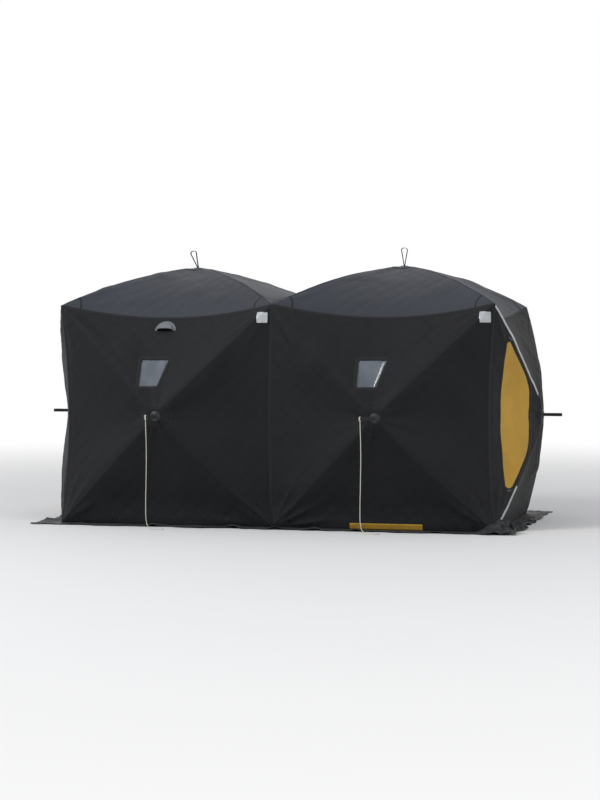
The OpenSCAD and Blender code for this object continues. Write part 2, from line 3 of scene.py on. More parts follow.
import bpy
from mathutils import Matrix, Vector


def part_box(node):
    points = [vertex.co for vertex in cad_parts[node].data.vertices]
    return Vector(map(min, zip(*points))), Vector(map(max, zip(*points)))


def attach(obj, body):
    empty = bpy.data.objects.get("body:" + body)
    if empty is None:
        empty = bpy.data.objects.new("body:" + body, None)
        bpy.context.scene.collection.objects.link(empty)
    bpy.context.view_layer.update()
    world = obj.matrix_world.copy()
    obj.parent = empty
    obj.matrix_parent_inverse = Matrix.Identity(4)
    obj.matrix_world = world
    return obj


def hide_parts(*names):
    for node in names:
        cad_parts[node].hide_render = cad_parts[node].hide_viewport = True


bl_info = {
    "name": "Pop-up fishing shelter",
    "version": (1, 0, 0),
    "blender": (4, 5, 0),
    "location": "3D View > Sidebar > Shelter",
    "description": "Sewn shell, trim, ropes and finishes of a two-bay pop-up shelter",
    "category": "Add Mesh",
}

import math
from functools import partial

import bpy
import numpy as np
from bpy.props import FloatProperty, FloatVectorProperty, IntProperty, PointerProperty
from bpy.types import Operator, Panel, PropertyGroup
from mathutils import Vector

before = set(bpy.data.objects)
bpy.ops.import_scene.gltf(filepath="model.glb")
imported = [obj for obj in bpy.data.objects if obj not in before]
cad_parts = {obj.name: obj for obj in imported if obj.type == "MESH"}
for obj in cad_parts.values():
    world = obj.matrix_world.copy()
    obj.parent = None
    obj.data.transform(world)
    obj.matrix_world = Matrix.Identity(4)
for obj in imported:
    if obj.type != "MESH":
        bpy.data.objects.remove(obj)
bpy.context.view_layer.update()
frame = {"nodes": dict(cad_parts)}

# Driving sizes of the shelter in metres, read from the frame
LENGTH = round(2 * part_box("front_right_wall")[1].x, 3)
DEPTH = round(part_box("left_end_wall")[1].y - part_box("left_end_wall")[0].y, 3)
EAVE = round(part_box("left_end_wall")[1].z, 3)
ROOF_RISE = round(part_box("left_roof")[1].z - EAVE, 3)
WALL_RISE = round(-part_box("front_right_wall")[0].y - DEPTH / 2, 3)

# Bow of the ridges over their poles and sag of the cloth between them, and the flat share round each hub
WALL_SHAPE = (0.024, 0.040)
ROOF_SHAPE = (0.045, 0.020)
FLAT = 0.06

# Edges of a panel as (pull towards its middle, push outwards)
CORNER_EDGE = (0.050, -0.050)
MIDDLE_EDGE = (0.0, 0.060)
VALLEY_EDGE = (0.0, 0.090)
FOOT_EDGE = (0.0, 0.0)
WALL_EAVE = (0.110, -0.070)
ROOF_EAVE = (0.070, -0.110)
SEAM_GAP = 0.0003
CORNERS = ((1, 1), (-1, 1), (-1, -1), (1, -1))

# Panels with openings
WINDOW_BAYS = ("front_left", "front_right", "back_left", "back_right")
DOOR_BAYS = ("right_end", "left_end")
VENT_BAYS = ("front_left", "back_left")

# Window: upright on its left side and slanted on its right
WINDOW_SIDE = 0.172
WINDOW_FOOT = 0.226
WINDOW_FOOT_W = 0.172
WINDOW_TOP_W = 0.258
WINDOW_H = 0.240
WINDOW_CORNER = 0.018
PANE_LAP = 0.014

# Door: straight side near the corner seam, slanted sides along the ridges and a round end towards the hub
DOOR_EDGE = 0.185
DOOR_MARGIN = 0.030
DOOR_REACH = 0.474
DOOR_FOOT_W = 0.095
DOOR_CORNER = 0.040

# Vent: foot of the hood over the hub, its width, how far it stands out, and the slot behind it
VENT_DROP = 0.208
VENT_W = 0.150
VENT_OUT = 0.040
VENT_TAPER = 0.014
VENT_RIM = 0.020
VENT_SLOT_H = 0.026
VENT_FOOT = EAVE / 2 - VENT_DROP

# Pull loops: the teardrop of webbing, the cap under it, and each loop's lean in degrees
LOOP_L = 0.150
LOOP_W = 0.054
LOOP_BEND = 0.018
STRAP_W = 0.025
STRAP_T = 0.004
CAP_D = 0.084
CAP_H = 0.009
CLEARANCE = 0.0003
LOOPS = {
    "roof_pull_loops": (("left_roof", 18), ("right_roof", 0)),
    "front_pull_loops": (("front_left", 12), ("front_right", 38)),
    "back_pull_loops": (("back_left", 0), ("back_right", 0)),
    "end_pull_loops": (("left_end", 0), ("right_end", 0)),
}

# Guy rope: points [x, drop] of its fall from the pull loop, then [x, z] on the ground, in millimetres
ROPE_FALL = [[0, 0], [0, 30], [1, 60], [2, 90], [3, 120], [4, 150], [5, 180], [5, 210], [6, 240], [6, 270],
             [6, 300], [6, 330], [6, 360], [5, 390], [5, 420], [4, 450], [4, 480], [3, 510], [3, 540],
             [2, 570], [1, 600], [1, 630], [0, 660], [0, 690], [0, 720], [0, 750], [1, 780], [3, 800], [6, 820]]
ROPE_LIE = [[10, 44], [17, 29], [28, 17], [42, 9], [58, 4.5], [76, 3.2], [94, 3.1], [112, 3.1], [130, 3.1]]

# Seams: name, the edges of the two panels that meet, and whether these run opposite ways
SEAMS = [
    ("front_left_corner", "front_left", "left", "left_end", "right", False),
    ("front_right_corner", "front_right", "right", "right_end", "left", False),
    ("back_left_corner", "back_left", "right", "left_end", "left", False),
    ("back_right_corner", "back_right", "left", "right_end", "right", False),
    ("front_middle", "front_left", "right", "front_right", "left", False),
    ("back_middle", "back_right", "right", "back_left", "left", False),
    ("front_left_eave", "front_left", "top", "left_roof", "bottom", False),
    ("front_right_eave", "front_right", "top", "right_roof", "bottom", False),
    ("back_left_eave", "back_left", "top", "left_roof", "top", True),
    ("back_right_eave", "back_right", "top", "right_roof", "top", True),
    ("left_end_eave", "left_end", "top", "left_roof", "left", True),
    ("right_end_eave", "right_end", "top", "right_roof", "right", False),
    ("roof_valley", "left_roof", "right", "right_roof", "left", False),
]

# Poles: how far a ferrule ends from its hub's centre, and the length of a pole's tip
HUBS = (*WINDOW_BAYS, "left_end", "right_end", "roof_left", "roof_right")
FERRULE_END = 0.0957
TIP = 0.0445

# How much of the lower edge's rime covers the walls
WALL_RIME = 0.07


def linear(code):
    """The linear colour of an sRGB hex value."""
    shares = [int(code[i:i + 2], 16) / 255 for i in (1, 3, 5)]
    return [s / 12.92 if s <= 0.04045 else ((s + 0.055) / 1.055) ** 2.4 for s in shares]


def length_of(name, description, default):
    """A length that a user may change."""
    return FloatProperty(name=name, description=description, default=default, min=0, unit="LENGTH",
                         precision=4)


def colour_of(name, description, code):
    """A colour that a user may change."""
    return FloatVectorProperty(name=name, description=description, default=linear(code), subtype="COLOR",
                               min=0, max=1)


class ShellSizes(PropertyGroup):
    length: length_of("Length", "Length of the shelter along its two bays", LENGTH)
    depth: length_of("Depth", "Depth of the shelter", DEPTH)
    eave: length_of("Eave height", "Height of the shell's upper corners", EAVE)
    roof_rise: length_of("Roof rise", "Height of the roof hubs over the eave", ROOF_RISE)
    wall_rise: length_of("Wall rise", "How far the wall hubs stand out", WALL_RISE)
    cloth: length_of("Cloth", "Thickness of the quilted cloth", 0.005)
    puff: length_of("Puff", "Height of the quilting between its stitch lines", 0.0026)
    fold: length_of("Fold", "Height of the tension folds", 0.0045)
    quilts: IntProperty(name="Quilts", description="Quilted diamonds across a panel", default=12, min=2)
    steps: IntProperty(name="Steps", description="Grid cells across a panel", default=108, min=24)


class TrimSizes(PropertyGroup):
    seam: length_of("Seam", "Width of the binding on each side of a seam", 0.013)
    hem: length_of("Hem", "Width of the hem at the foot", 0.030)
    frame: length_of("Window frame", "Width of the binding round a window", 0.026)
    piping: length_of("Piping", "Width of the reflective tape along a ridge", 0.024)
    zip_tape: length_of("Zip tape", "Width of the zip's tape", 0.038)
    coil: length_of("Coil", "Width of the zip's coil", 0.008)
    hub_patch: length_of("Hub patch", "Radius of the reinforcement round a hub", 0.125)
    corner_patch: length_of("Corner patch", "Side of the reinforcement in a corner", 0.150)
    rope: length_of("Rope", "Diameter of the guy ropes", 0.006)
    skirt: length_of("Skirt", "Width of the snow skirt", 0.200)


class ClothColours(PropertyGroup):
    wall: colour_of("Walls", "Coated polyester of the walls", "#151618")
    # The roof's blue-grey, paler than the walls' black, is partly the charcoal cloth and partly painted sky
    # light: the panels that face the sky are coloured lighter and bluer
    roof: colour_of("Roof", "Coated polyester of the roof", "#292d36")
    door: colour_of("Doors", "Coated polyester of the doors and the foot band", "#b08a34")
    liner: colour_of("Liner", "Inner face of the shell", "#26282b")
    film: colour_of("Windows", "Clear film of the windows", "#7f8994")
    binding: colour_of("Binding", "Tape that binds the seams", "#17181a")
    webbing: colour_of("Webbing", "Pull loops", "#232427")
    skirt: colour_of("Skirt", "Snow skirt", "#151619")
    vent: colour_of("Vents", "Vent hoods", "#6c7075")
    reflector: colour_of("Reflectors", "Retroreflective tape", "#b4b7bb")
    rope: colour_of("Ropes", "Guy ropes", "#e8e6dc")


class HardwareColours(PropertyGroup):
    hub: colour_of("Hubs", "Cast aluminium of the hubs", "#b4b7ba")
    steel: colour_of("Steel", "Ferrules of the poles", "#c2c4c6")
    blackened: colour_of("Blackened steel", "Bolts of the caps and sliders of the zips", "#5b5d60")
    pole: colour_of("Poles", "Pultruded glass fibre", "#cfc8b0")
    plastic: colour_of("Plastic", "Moulded nylon", "#1c1d1f")
    floor: colour_of("Floor", "Studio floor", "#e4e5e7")


class StageSizes(PropertyGroup):
    eye: FloatVectorProperty(name="Camera", description="Place of the camera", subtype="TRANSLATION",
                             default=(4.175, -16.423, 1.505))
    aim: FloatVectorProperty(name="Target", description="Point that the camera looks at",
                             subtype="TRANSLATION", default=(0.0, 0.0, 1.0))
    lens: FloatProperty(name="Lens", description="Focal length in millimetres", default=90, min=10)
    world: FloatProperty(name="World", description="Strength of the even light", default=0.55, min=0)
    key: FloatProperty(name="Key", description="Power of the main lamp", default=1150, min=0)
    fill: FloatProperty(name="Fill", description="Power of the lamp at the other side", default=420, min=0)


# Lines and curves, in metres


def smooth(x, low, high):
    """Smooth step: 0 below low, 1 over high, and 3t^2 - 2t^3 between."""
    t = np.clip((x - low) / (high - low), 0, 1)
    return t * t * (3 - 2 * t)


def ripples(seed, x, y, shortest, longest, count=10):
    """Ripples about zero: plane waves of random way, length and phase, summed and divided by their spread."""
    random = np.random.default_rng(seed)
    way = random.uniform(0, math.tau, count)
    wave = random.uniform(shortest, longest, count)
    phase = random.uniform(0, math.tau, count)
    along = np.multiply.outer(x, np.cos(way)) + np.multiply.outer(y, np.sin(way))
    return np.cos(math.tau * along / wave + phase).sum(-1) / math.sqrt(count / 2)


def rays(seed, angle, fewest, most, count=6):
    """Folds that fan out from a point: cosine waves of the angle with whole counts, summed likewise."""
    random = np.random.default_rng(seed)
    turns = np.round(random.uniform(fewest, most, count))
    phase = random.uniform(0, math.tau, count)
    return np.cos(np.multiply.outer(angle, turns) + phase).sum(-1) / math.sqrt(count / 2)


def unit(v):
    """Vectors divided by their lengths."""
    return v / np.linalg.norm(v, axis=-1, keepdims=True)


def run_of(line):
    """Length along a line of points from its start to each of them: its steps' lengths summed."""
    return np.concatenate([[0], np.linalg.norm(np.diff(line, axis=0), axis=1)]).cumsum()


def way_of(line, closed=False):
    """Direction of a line at each of its points: from the point before to the point after."""
    return unit(np.roll(line, -1, axis=0) - np.roll(line, 1, axis=0) if closed else np.gradient(line, axis=0))


def pairs(a, b):
    """A map's list of pairs from two sets of numbers, each repeated over the other's grid."""
    return np.stack(np.broadcast_arrays(a, b), -1).reshape(-1, 2)


def even(line, step, closed=False):
    """Points at even steps along a line of points."""
    way = run_of(line)
    at = np.linspace(0, way[-1], max(2, round(way[-1] / step) + 1))
    found = np.column_stack([np.interp(at, way, q) for q in line.T])
    return found[:-1] if closed else found


def rounded(points, radii, step=0.008, closed=True):
    """Outline with round corners: an arc that touches both sides at each, then points at even steps."""
    points = np.array(points, float)
    out = []
    for i, radius in enumerate(np.broadcast_to(radii, len(points))):
        b = points[i]
        if radius == 0:
            out.append(b[None])
            continue
        ua, uc = unit(points[i - 1] - b), unit(points[(i + 1) % len(points)] - b)
        half = math.acos(np.clip(ua @ uc, -1, 1)) / 2
        centre = b + unit(ua + uc) * radius / math.sin(half)
        start, end = (b + q * radius / math.tan(half) - centre for q in (ua, uc))
        turn = (math.pi - 2 * half) * np.sign(start[0] * end[1] - start[1] * end[0])
        w = turn * np.linspace(0, 1, max(4, math.ceil(abs(turn) * radius / step)))[:, None]
        out.append(centre + start * np.cos(w) + np.array([-start[1], start[0]]) * np.sin(w))
    return even(np.concatenate(out + [out[0][:1]] if closed else out), step, closed)


def rectangle(left, low, width, height, radius, step=0.008):
    """Rectangle with round corners."""
    right, top = left + width, low + height
    return rounded([[left, low], [right, low], [right, top], [left, top]], radius, step)


def spline(points, step):
    """Smooth line through points: a cubic between each pair whose slopes are those of the neighbours."""
    slope = np.gradient(points, axis=0)
    count = max(2, math.ceil(np.diff(run_of(points)).max() / step))
    t = np.linspace(0, 1, count, endpoint=False)[:, None]
    a, b, p, q = points[:-1, None], points[1:, None], slope[:-1, None], slope[1:, None]
    line = (a * (2 * t ** 3 - 3 * t ** 2 + 1) + p * (t ** 3 - 2 * t ** 2 + t)
            + b * (3 * t ** 2 - 2 * t ** 3) + q * (t ** 3 - t ** 2))
    return np.concatenate([line.reshape(-1, points.shape[1]), points[-1:]])


def inside(outline, points):
    """Whether each point lies in a closed outline: a ray to its right crosses an odd number of sides."""
    a, b = outline, np.roll(outline, -1, axis=0)
    x, y = points[:, 0, None], points[:, 1, None]
    spans = (a[:, 1] > y) != (b[:, 1] > y)
    rise = np.where(b[:, 1] == a[:, 1], 1e-12, b[:, 1] - a[:, 1])
    return (spans & (x < a[:, 0] + (y - a[:, 1]) * (b[:, 0] - a[:, 0]) / rise)).sum(1) % 2 == 1


def nearest(outline, points):
    """Nearest point of a closed outline to each point, and how far away it is."""
    way = np.roll(outline, -1, axis=0) - outline
    t = ((points[:, None] - outline) * way).sum(-1) / (way * way).sum(-1)
    found = outline + np.clip(t, 0, 1)[..., None] * way
    gap = np.linalg.norm(points[:, None] - found, axis=-1)
    pick = np.arange(len(points)), gap.argmin(1)
    return found[pick], gap[pick]


def window_outline(grow):
    """Window with four round corners, seen from outside."""
    left, foot = -WINDOW_SIDE - grow, WINDOW_FOOT - grow
    top = foot + WINDOW_H + 2 * grow
    return rounded([[left, foot], [left + WINDOW_FOOT_W + 2 * grow, foot],
                    [left + WINDOW_TOP_W + 2 * grow, top], [left, top]], WINDOW_CORNER + grow)


def door_points(shrink):
    """Corners and radii of the D: slanted sides parallel to the ridges, and a round end at the hub."""
    half_d, half_e = DEPTH / 2, EAVE / 2
    side = DOOR_EDGE - half_d + shrink
    slope = half_e / half_d
    tip = -(DOOR_MARGIN + shrink) * math.hypot(1, slope) / slope
    foot = shrink + slope * (DOOR_EDGE - half_d + DOOR_FOOT_W) + DOOR_MARGIN * math.hypot(1, slope)
    bend = (tip - (side - 2 * shrink + DOOR_REACH)) / (1 / math.sin(math.atan(slope)) - 1)
    r = DOOR_CORNER - shrink
    points = [[side, foot], [tip + foot / slope, foot], [tip, 0], [side, (tip - side) * slope]]
    return np.array(points), [r, r + DOOR_CORNER, bend, r]


def vent_slot():
    """Slot in the cloth behind a vent's hood."""
    side = VENT_W / 2 - VENT_RIM
    return rectangle(-side, VENT_FOOT + VENT_RIM / 2, 2 * side, VENT_SLOT_H, 0.004, 0.004)


# Parts, each as (points, face arrays, uv)


def quads(rows, cols, wrap_rows=False, wrap_cols=False):
    """Faces of a grid of points, row by row, closed round either way if asked."""
    i = np.arange(rows if wrap_rows else rows - 1)[:, None]
    j = np.arange(cols if wrap_cols else cols - 1)
    k, l = (i + 1) % rows, (j + 1) % cols
    return np.stack([i * cols + j, i * cols + l, k * cols + l, k * cols + j], -1).reshape(-1, 4)


def outward(points, faces):
    """Faces turned to look outwards: fanned into triangles, their tetrahedra about the middle sum to over 0."""
    points = points - points.mean(0)
    volume = sum((points[f[:, 0]] * np.cross(points[f[:, k]], points[f[:, k + 1]])).sum()
                 for f in faces for k in range(1, f.shape[1] - 1))
    return [f[:, ::-1] for f in faces] if volume < 0 else faces


def tube(grid, closed=False, uv=None):
    """Closed skin over rings of points, one ring a row, capped at both ends unless these meet."""
    rows, cols = grid.shape[:2]
    faces = [quads(rows, cols, closed, True)]
    if not closed:
        faces += [np.arange(cols)[None, ::-1], (np.arange(cols) + (rows - 1) * cols)[None]]
    if uv is None:
        uv = pairs(run_of(grid.mean(1))[:, None], run_of(grid[0]))
    points = grid.reshape(-1, 3)
    return points, outward(points, faces), uv


def prism(outline, low, high, chamfer):
    """Chamfered plate: an outline at four heights, drawn in towards its middle at the first and the last."""
    middle = outline.mean(0)
    share = 1 - chamfer / np.abs(outline - middle).max()
    rings = [(share, low), (1, low + chamfer), (1, high - chamfer), (share, high)]
    return tube(np.stack([np.column_stack([middle + (outline - middle) * k, np.full(len(outline), z)])
                          for k, z in rings]))


def turned(profile, count=32):
    """Turned part about z: a profile of (radius, height) carried round a circle."""
    r, z = np.array(profile, float).T[..., None]
    w = np.linspace(0, math.tau, count, endpoint=False)
    return tube(np.stack([r * np.cos(w), r * np.sin(w), z + 0 * w], -1))


def swept(path, section):
    """Section carried along a path: its first number goes along y and its second square to y and the path."""
    across, rise = np.array(section, float).T[..., None]
    up = unit(np.cross(way_of(path), [0, 1, 0]))
    grid = path[:, None] + across * [0, 1, 0] + rise * up[:, None]
    return tube(grid, uv=pairs(run_of(path)[:, None], across[:, 0]))


def braid(path, side, radius, closed=False):
    """Braided cord along a path: its radius swells where two sets of carriers cross as they wind round it."""
    way = way_of(path, closed)
    side = unit(side - (way * side).sum(1)[:, None] * way)
    up = np.cross(way, side)
    run = run_of(path)[:, None]
    w = np.linspace(0, math.tau, 20, endpoint=False)
    wound = 2 * run / radius
    r = radius * (1 + 0.07 * np.cos(4 * w + wound) * np.cos(4 * w - wound))[..., None]
    ring = side[:, None] * np.cos(w)[:, None] + up[:, None] * np.sin(w)[:, None]
    return tube(path[:, None] + r * ring, closed, pairs(run, w * radius))


def moved(part, change):
    """The part with its points changed by a function."""
    points, faces, uv = part
    return change(points), faces, uv


# Panels


class Bay:
    """One sewn panel over a rectangle, pushed out at its middle by a hub.

    With u and v from -1 to 1 and m the larger of their sizes, a ridge falls from the hub's flat to the corner
    on a circular arc. Each edge is pulled inwards and outwards by its own amounts times m^3, fading to nothing
    at the ridges as k = 1 - (smaller / larger)^2. Between the ridges the cloth sags by sag * 4m(1 - m) * k^2,
    eased in from the edge of the flat.
    """

    def __init__(self, name, half, edges, origin, axes, sizes, seed):
        self.edges, self.sizes, self.seed = edges, sizes, seed
        self.top = name.endswith("roof")
        self.slot = "roof_fabric" if self.top else "wall_fabric"
        self.rise = sizes.roof_rise if self.top else sizes.wall_rise
        self.bow, self.sag = ROOF_SHAPE if self.top else WALL_SHAPE
        self.origin, self.axes = np.array(origin, float), np.array(axes, float)
        self.a, self.c = (q - SEAM_GAP / 2 for q in half)
        self.run = math.hypot(*half)
        self.openings = []

    def ridge(self, m):
        """Height of a ridge: the hub's rise on the flat, then a circular arc with the given bow down to 0."""
        x0, x1 = FLAT * self.run, self.run
        chord = math.hypot(x1 - x0, self.rise)
        radius = chord ** 2 / (8 * self.bow) + self.bow / 2
        back = (radius - self.bow) / chord
        middle = (x0 + x1) / 2 - self.rise * back
        low = self.rise / 2 - (x1 - x0) * back
        arc = low + np.sqrt(radius ** 2 - (m * self.run - middle) ** 2)
        return np.where(m <= FLAT, self.rise, arc)

    def base(self, u, v):
        """Point of the smooth cloth in the panel's own frame."""
        upright = np.abs(v) >= np.abs(u)
        m = np.maximum(np.abs(u), np.abs(v))
        between = 1 - (np.minimum(np.abs(u), np.abs(v)) / np.maximum(m, 1e-9)) ** 2
        left, right, bottom, top = self.edges
        pull, out = (np.where(upright, np.where(v > 0, top[k], bottom[k]), np.where(u > 0, right[k], left[k]))
                     * between * m ** 3 for k in (0, 1))
        sag = self.sag * 4 * m * (1 - m) * smooth(m, FLAT, FLAT + 0.09)
        height = self.ridge(m) + out - between ** 2 * sag
        return np.stack([u * self.a - np.where(upright, 0, np.sign(u) * pull),
                         v * self.c - np.where(upright, np.sign(v) * pull, 0), height], -1)

    def normal(self, u, v, d=0.004):
        """Outward direction: the cross product of the cloth's differences along u and v."""
        return unit(np.cross(self.base(u + d, v) - self.base(u - d, v),
                             self.base(u, v + d) - self.base(u, v - d)))

    def relief(self, u, v):
        """Height of the quilting and folds over the smooth cloth, from 0 outwards.

        The quilting is (|sin| * |sin|)^0.4 of the two diagonals, folds fan out from the hub and the corners,
        soft ripples fill the slack, and puckers stand square to the seams.
        """
        shape = np.shape(u)
        u, v = np.ravel(u), np.ravel(v)
        x, y = u * self.a, v * self.c
        r = np.hypot(x, y)
        m = np.maximum(np.abs(u), np.abs(v))
        place = self.base(u, v)[:, :2]
        half = self.sizes.quilts / 2
        quilt = (np.abs(np.sin(math.pi * half * (u + v))) * np.abs(np.sin(math.pi * half * (u - v)))) ** 0.4
        for outline, plain in self.openings:
            gap = nearest(outline, place)[1]
            quilt *= smooth(gap, 0.014, 0.05) * (1 - plain * inside(outline, place))
        fan = np.maximum(0, rays(self.seed, np.arctan2(y, x), 7, 14))
        fold = 0.7 * fan * np.exp(-((r - 0.17) / 0.17) ** 2)
        for k, (sx, sy) in enumerate(CORNERS):
            dx, dy = self.a - sx * x, self.c - sy * y
            rc = np.hypot(dx, dy)
            fan = np.maximum(0, rays(self.seed + 11 * k, np.arctan2(dy, dx), 9, 24))
            fold += fan * np.exp(-((rc - 0.24) / 0.2) ** 2) * smooth(rc, 0.1, 0.2)
        fold += np.maximum(0, ripples(self.seed + 5, x, y, 0.22, 0.6)) * 4 * m * (1 - m) * 0.9
        edge = np.minimum((1 - np.abs(u)) * self.a, (1 - np.abs(v)) * self.c)
        along = np.where(np.abs(u) > np.abs(v), y, x)
        wave = along / 0.075 + 0.6 * ripples(self.seed + 3, x, y, 0.3, 0.7)
        pucker = (0.5 + 0.5 * np.cos(math.tau * wave)) * np.exp(-((edge - 0.045) / 0.035) ** 2)
        total = self.sizes.puff * quilt + self.sizes.fold * (fold + 0.35 * pucker)
        return (total * smooth(r, 0.055, 0.12) * smooth(edge, 0.014, 0.045)).reshape(shape)

    def world(self, local):
        """Points of the panel's own frame in the shelter's frame."""
        return self.origin + local @ self.axes

    def skin(self, u, v, lift=0.0):
        """Point of the finished cloth, lifted outwards."""
        u, v = np.broadcast_arrays(np.asarray(u, float), np.asarray(v, float))
        rise = np.asarray(self.relief(u, v) + lift)
        return self.world(self.base(u, v) + self.normal(u, v) * rise[..., None])

    def uv_at(self, x, y):
        """The u and v whose smooth cloth lies at x, y: the miss is given back eight times."""
        u, v = x / self.a, y / self.c
        for _ in range(8):
            p = self.base(u, v)
            u, v = u + (x - p[..., 0]) / self.a, v + (y - p[..., 1]) / self.c
        return u, v

    def at(self, xy, lift=0.0):
        """Point of the finished cloth over a place in the panel's plane."""
        return self.skin(*self.uv_at(xy[..., 0], xy[..., 1]), lift)

    def rim(self, edge, s, inset, lift):
        """Points along an edge, at shares s from -1 to 1 of it and an inset in metres from it."""
        sign = 1 if edge in ("right", "top") else -1
        if edge in ("left", "right"):
            return self.skin(sign * (1 - inset / self.a), s, lift)
        return self.skin(s, sign * (1 - inset / self.c), lift)

    def cloth_uv(self, u, v):
        """Map of the cloth in metres, the same on every panel: half a panel is a quarter of the length."""
        return pairs(u, v) * self.sizes.length / 4


def bays(context):
    """The eight panels of the shell by name."""
    sizes = context.scene.shelter_shell
    quarter, half_d, half_e = sizes.length / 4, sizes.depth / 2, sizes.eave / 2
    wall, end, top = (quarter, half_e), (half_d, half_e), (quarter, half_d)
    up = (0, 0, 1)
    front, back = ((1, 0, 0), up, (0, -1, 0)), ((-1, 0, 0), up, (0, 1, 0))
    left, right = ((0, -1, 0), up, (-1, 0, 0)), ((0, 1, 0), up, (1, 0, 0))
    over = ((1, 0, 0), (0, 1, 0), up)
    left_bay = (CORNER_EDGE, MIDDLE_EDGE, FOOT_EDGE, WALL_EAVE)
    right_bay = (MIDDLE_EDGE, CORNER_EDGE, FOOT_EDGE, WALL_EAVE)
    end_bay = (CORNER_EDGE, CORNER_EDGE, FOOT_EDGE, WALL_EAVE)
    left_top = (ROOF_EAVE, VALLEY_EDGE, ROOF_EAVE, ROOF_EAVE)
    right_top = (VALLEY_EDGE, ROOF_EAVE, ROOF_EAVE, ROOF_EAVE)
    rows = [
        ("front_left", wall, left_bay, (-quarter, -half_d, half_e), front),
        ("front_right", wall, right_bay, (quarter, -half_d, half_e), front),
        ("back_left", wall, right_bay, (-quarter, half_d, half_e), back),
        ("back_right", wall, left_bay, (quarter, half_d, half_e), back),
        ("left_end", end, end_bay, (-2 * quarter, 0, half_e), left),
        ("right_end", end, end_bay, (2 * quarter, 0, half_e), right),
        ("left_roof", top, left_top, (-quarter, 0, sizes.eave), over),
        ("right_roof", top, right_top, (quarter, 0, sizes.eave), over),
    ]
    found = {row[0]: Bay(*row, sizes, 100 * (k + 1)) for k, row in enumerate(rows)}
    openings = [(WINDOW_BAYS, window_outline(0), False), (DOOR_BAYS, rounded(*door_points(0)), True),
                (VENT_BAYS, vent_slot(), False)]
    for names, outline, plain in openings:
        for name in names:
            found[name].openings.append((outline, plain))
    return found


def grid_triangles(lines_u, lines_v):
    """Triangles of a grid, each cell split along the ridge that runs nearest its way."""
    a, b, c, d = quads(len(lines_v), len(lines_u)).T
    middle = np.multiply.outer(lines_v[:-1] + lines_v[1:], lines_u[:-1] + lines_u[1:])
    forward = (middle >= 0).ravel()[:, None]
    one = np.where(forward, np.stack([a, b, c], 1), np.stack([a, b, d], 1))
    two = np.where(forward, np.stack([a, c, d], 1), np.stack([b, c, d], 1))
    return np.concatenate([one, two])


def cut(place, faces, outline, keep_inside):
    """Cut faces along an outline: those with their middle on the wrong side go, and the cut moves onto it."""
    kept = inside(outline, place[faces].mean(1)) == keep_inside
    ring = np.intersect1d(faces[kept], faces[~kept])
    place = place.copy()
    place[ring] = nearest(outline, place[ring])[0]
    return place, faces[kept], ring


def compact(points, faces, uv):
    """Only the points that the faces use."""
    used, back = np.unique(faces, return_inverse=True)
    return points[used], [back.reshape(faces.shape)], uv[used]


def shell(bay):
    """The panel's cloth from seam to seam with its openings cut, as triangles."""
    line = np.linspace(-1, 1, bay.sizes.steps + 1)
    u, v = (q.ravel() for q in np.meshgrid(line, line))
    faces = grid_triangles(line, line)
    for outline, _ in bay.openings:
        place, faces, ring = cut(bay.base(u, v)[:, :2], faces, outline, False)
        u[ring], v[ring] = bay.uv_at(*place[ring].T)
    return compact(bay.skin(u, v), faces, bay.cloth_uv(u, v))


def stretch(bay, outline, step, lift):
    """A stretch of the panel's surface inside an outline, lifted off the cloth by a height or a function."""
    low, high = outline.min(0) - step, outline.max(0) + step
    x, y = (np.arange(low[k], high[k] + step, step) for k in (0, 1))
    place = np.stack(np.meshgrid(x, y), -1).reshape(-1, 2)
    u, v = (q.reshape(len(y), -1) for q in bay.uv_at(*place.T))
    place, faces, _ = cut(place, grid_triangles(u.mean(0), v.mean(1)), outline, True)
    u, v = bay.uv_at(*place.T)
    return compact(bay.skin(u, v, lift(place) if callable(lift) else lift), faces, bay.cloth_uv(u, v))


def tape(bay, path, section, closed=False):
    """Tape sewn along a line of the panel: its section's (across, lift) pairs are carried over the cloth."""
    way = way_of(path, closed)
    across, lift = np.array(section, float).T
    place = path[:, None] + np.stack([-way[:, 1], way[:, 0]], -1)[:, None] * across[:, None]
    return tube(bay.at(place, lift), closed, pairs(run_of(path)[:, None], across))


def flat_section(width, height, sink=0.0012):
    """Section of a flat tape: a low crown over its width, and an underside that lies in the cloth."""
    half = width / 2
    return [(-half, height * 0.4), (-half * 0.85, height * 0.9), (-half * 0.3, height), (half * 0.3, height),
            (half * 0.85, height * 0.9), (half, height * 0.4), (half, -sink), (-half, -sink)]


def seam(bay_a, edge_a, bay_b, edge_b, turn, width):
    """Binding over a seam: a crowned tape that lies on both panels and stands highest where they meet."""
    s = np.linspace(-1, 1, 150)
    near, far = partial(bay_a.rim, edge_a, s), partial(bay_b.rim, edge_b, -s if turn else s)
    over = [(1, 0.0006), (0.85, 0.0016), (0.4, 0.0022), (0.12, 0.0030)]
    under = [(1, -0.0015), (0.4, -0.0015)]
    rings = [near(k * width, lift) for k, lift in over] + [(near(0, 0.0036) + far(0, 0.0036)) / 2]
    rings += [far(k * width, lift) for k, lift in over[::-1] + under]
    rings += [near(k * width, lift) for k, lift in under[::-1]]
    grid = np.stack(rings, 1)
    across = np.array([1, 0.85, 0.4, 0.12, 0, -0.12, -0.4, -0.85, -1, -1, -0.4, 0.4, 1]) * width
    return tube(grid, uv=pairs(run_of(grid[:, 4])[:, None], across))


def frames(bay, path, lift):
    """Places along a line of the panel, with the ways along it, across it and out of the cloth."""
    at = bay.at(path, lift)
    way = way_of(at)
    across = unit(np.cross(bay.at(path, lift + 0.01) - at, way))
    return at, way, across, np.cross(way, across)


# Meshes and materials


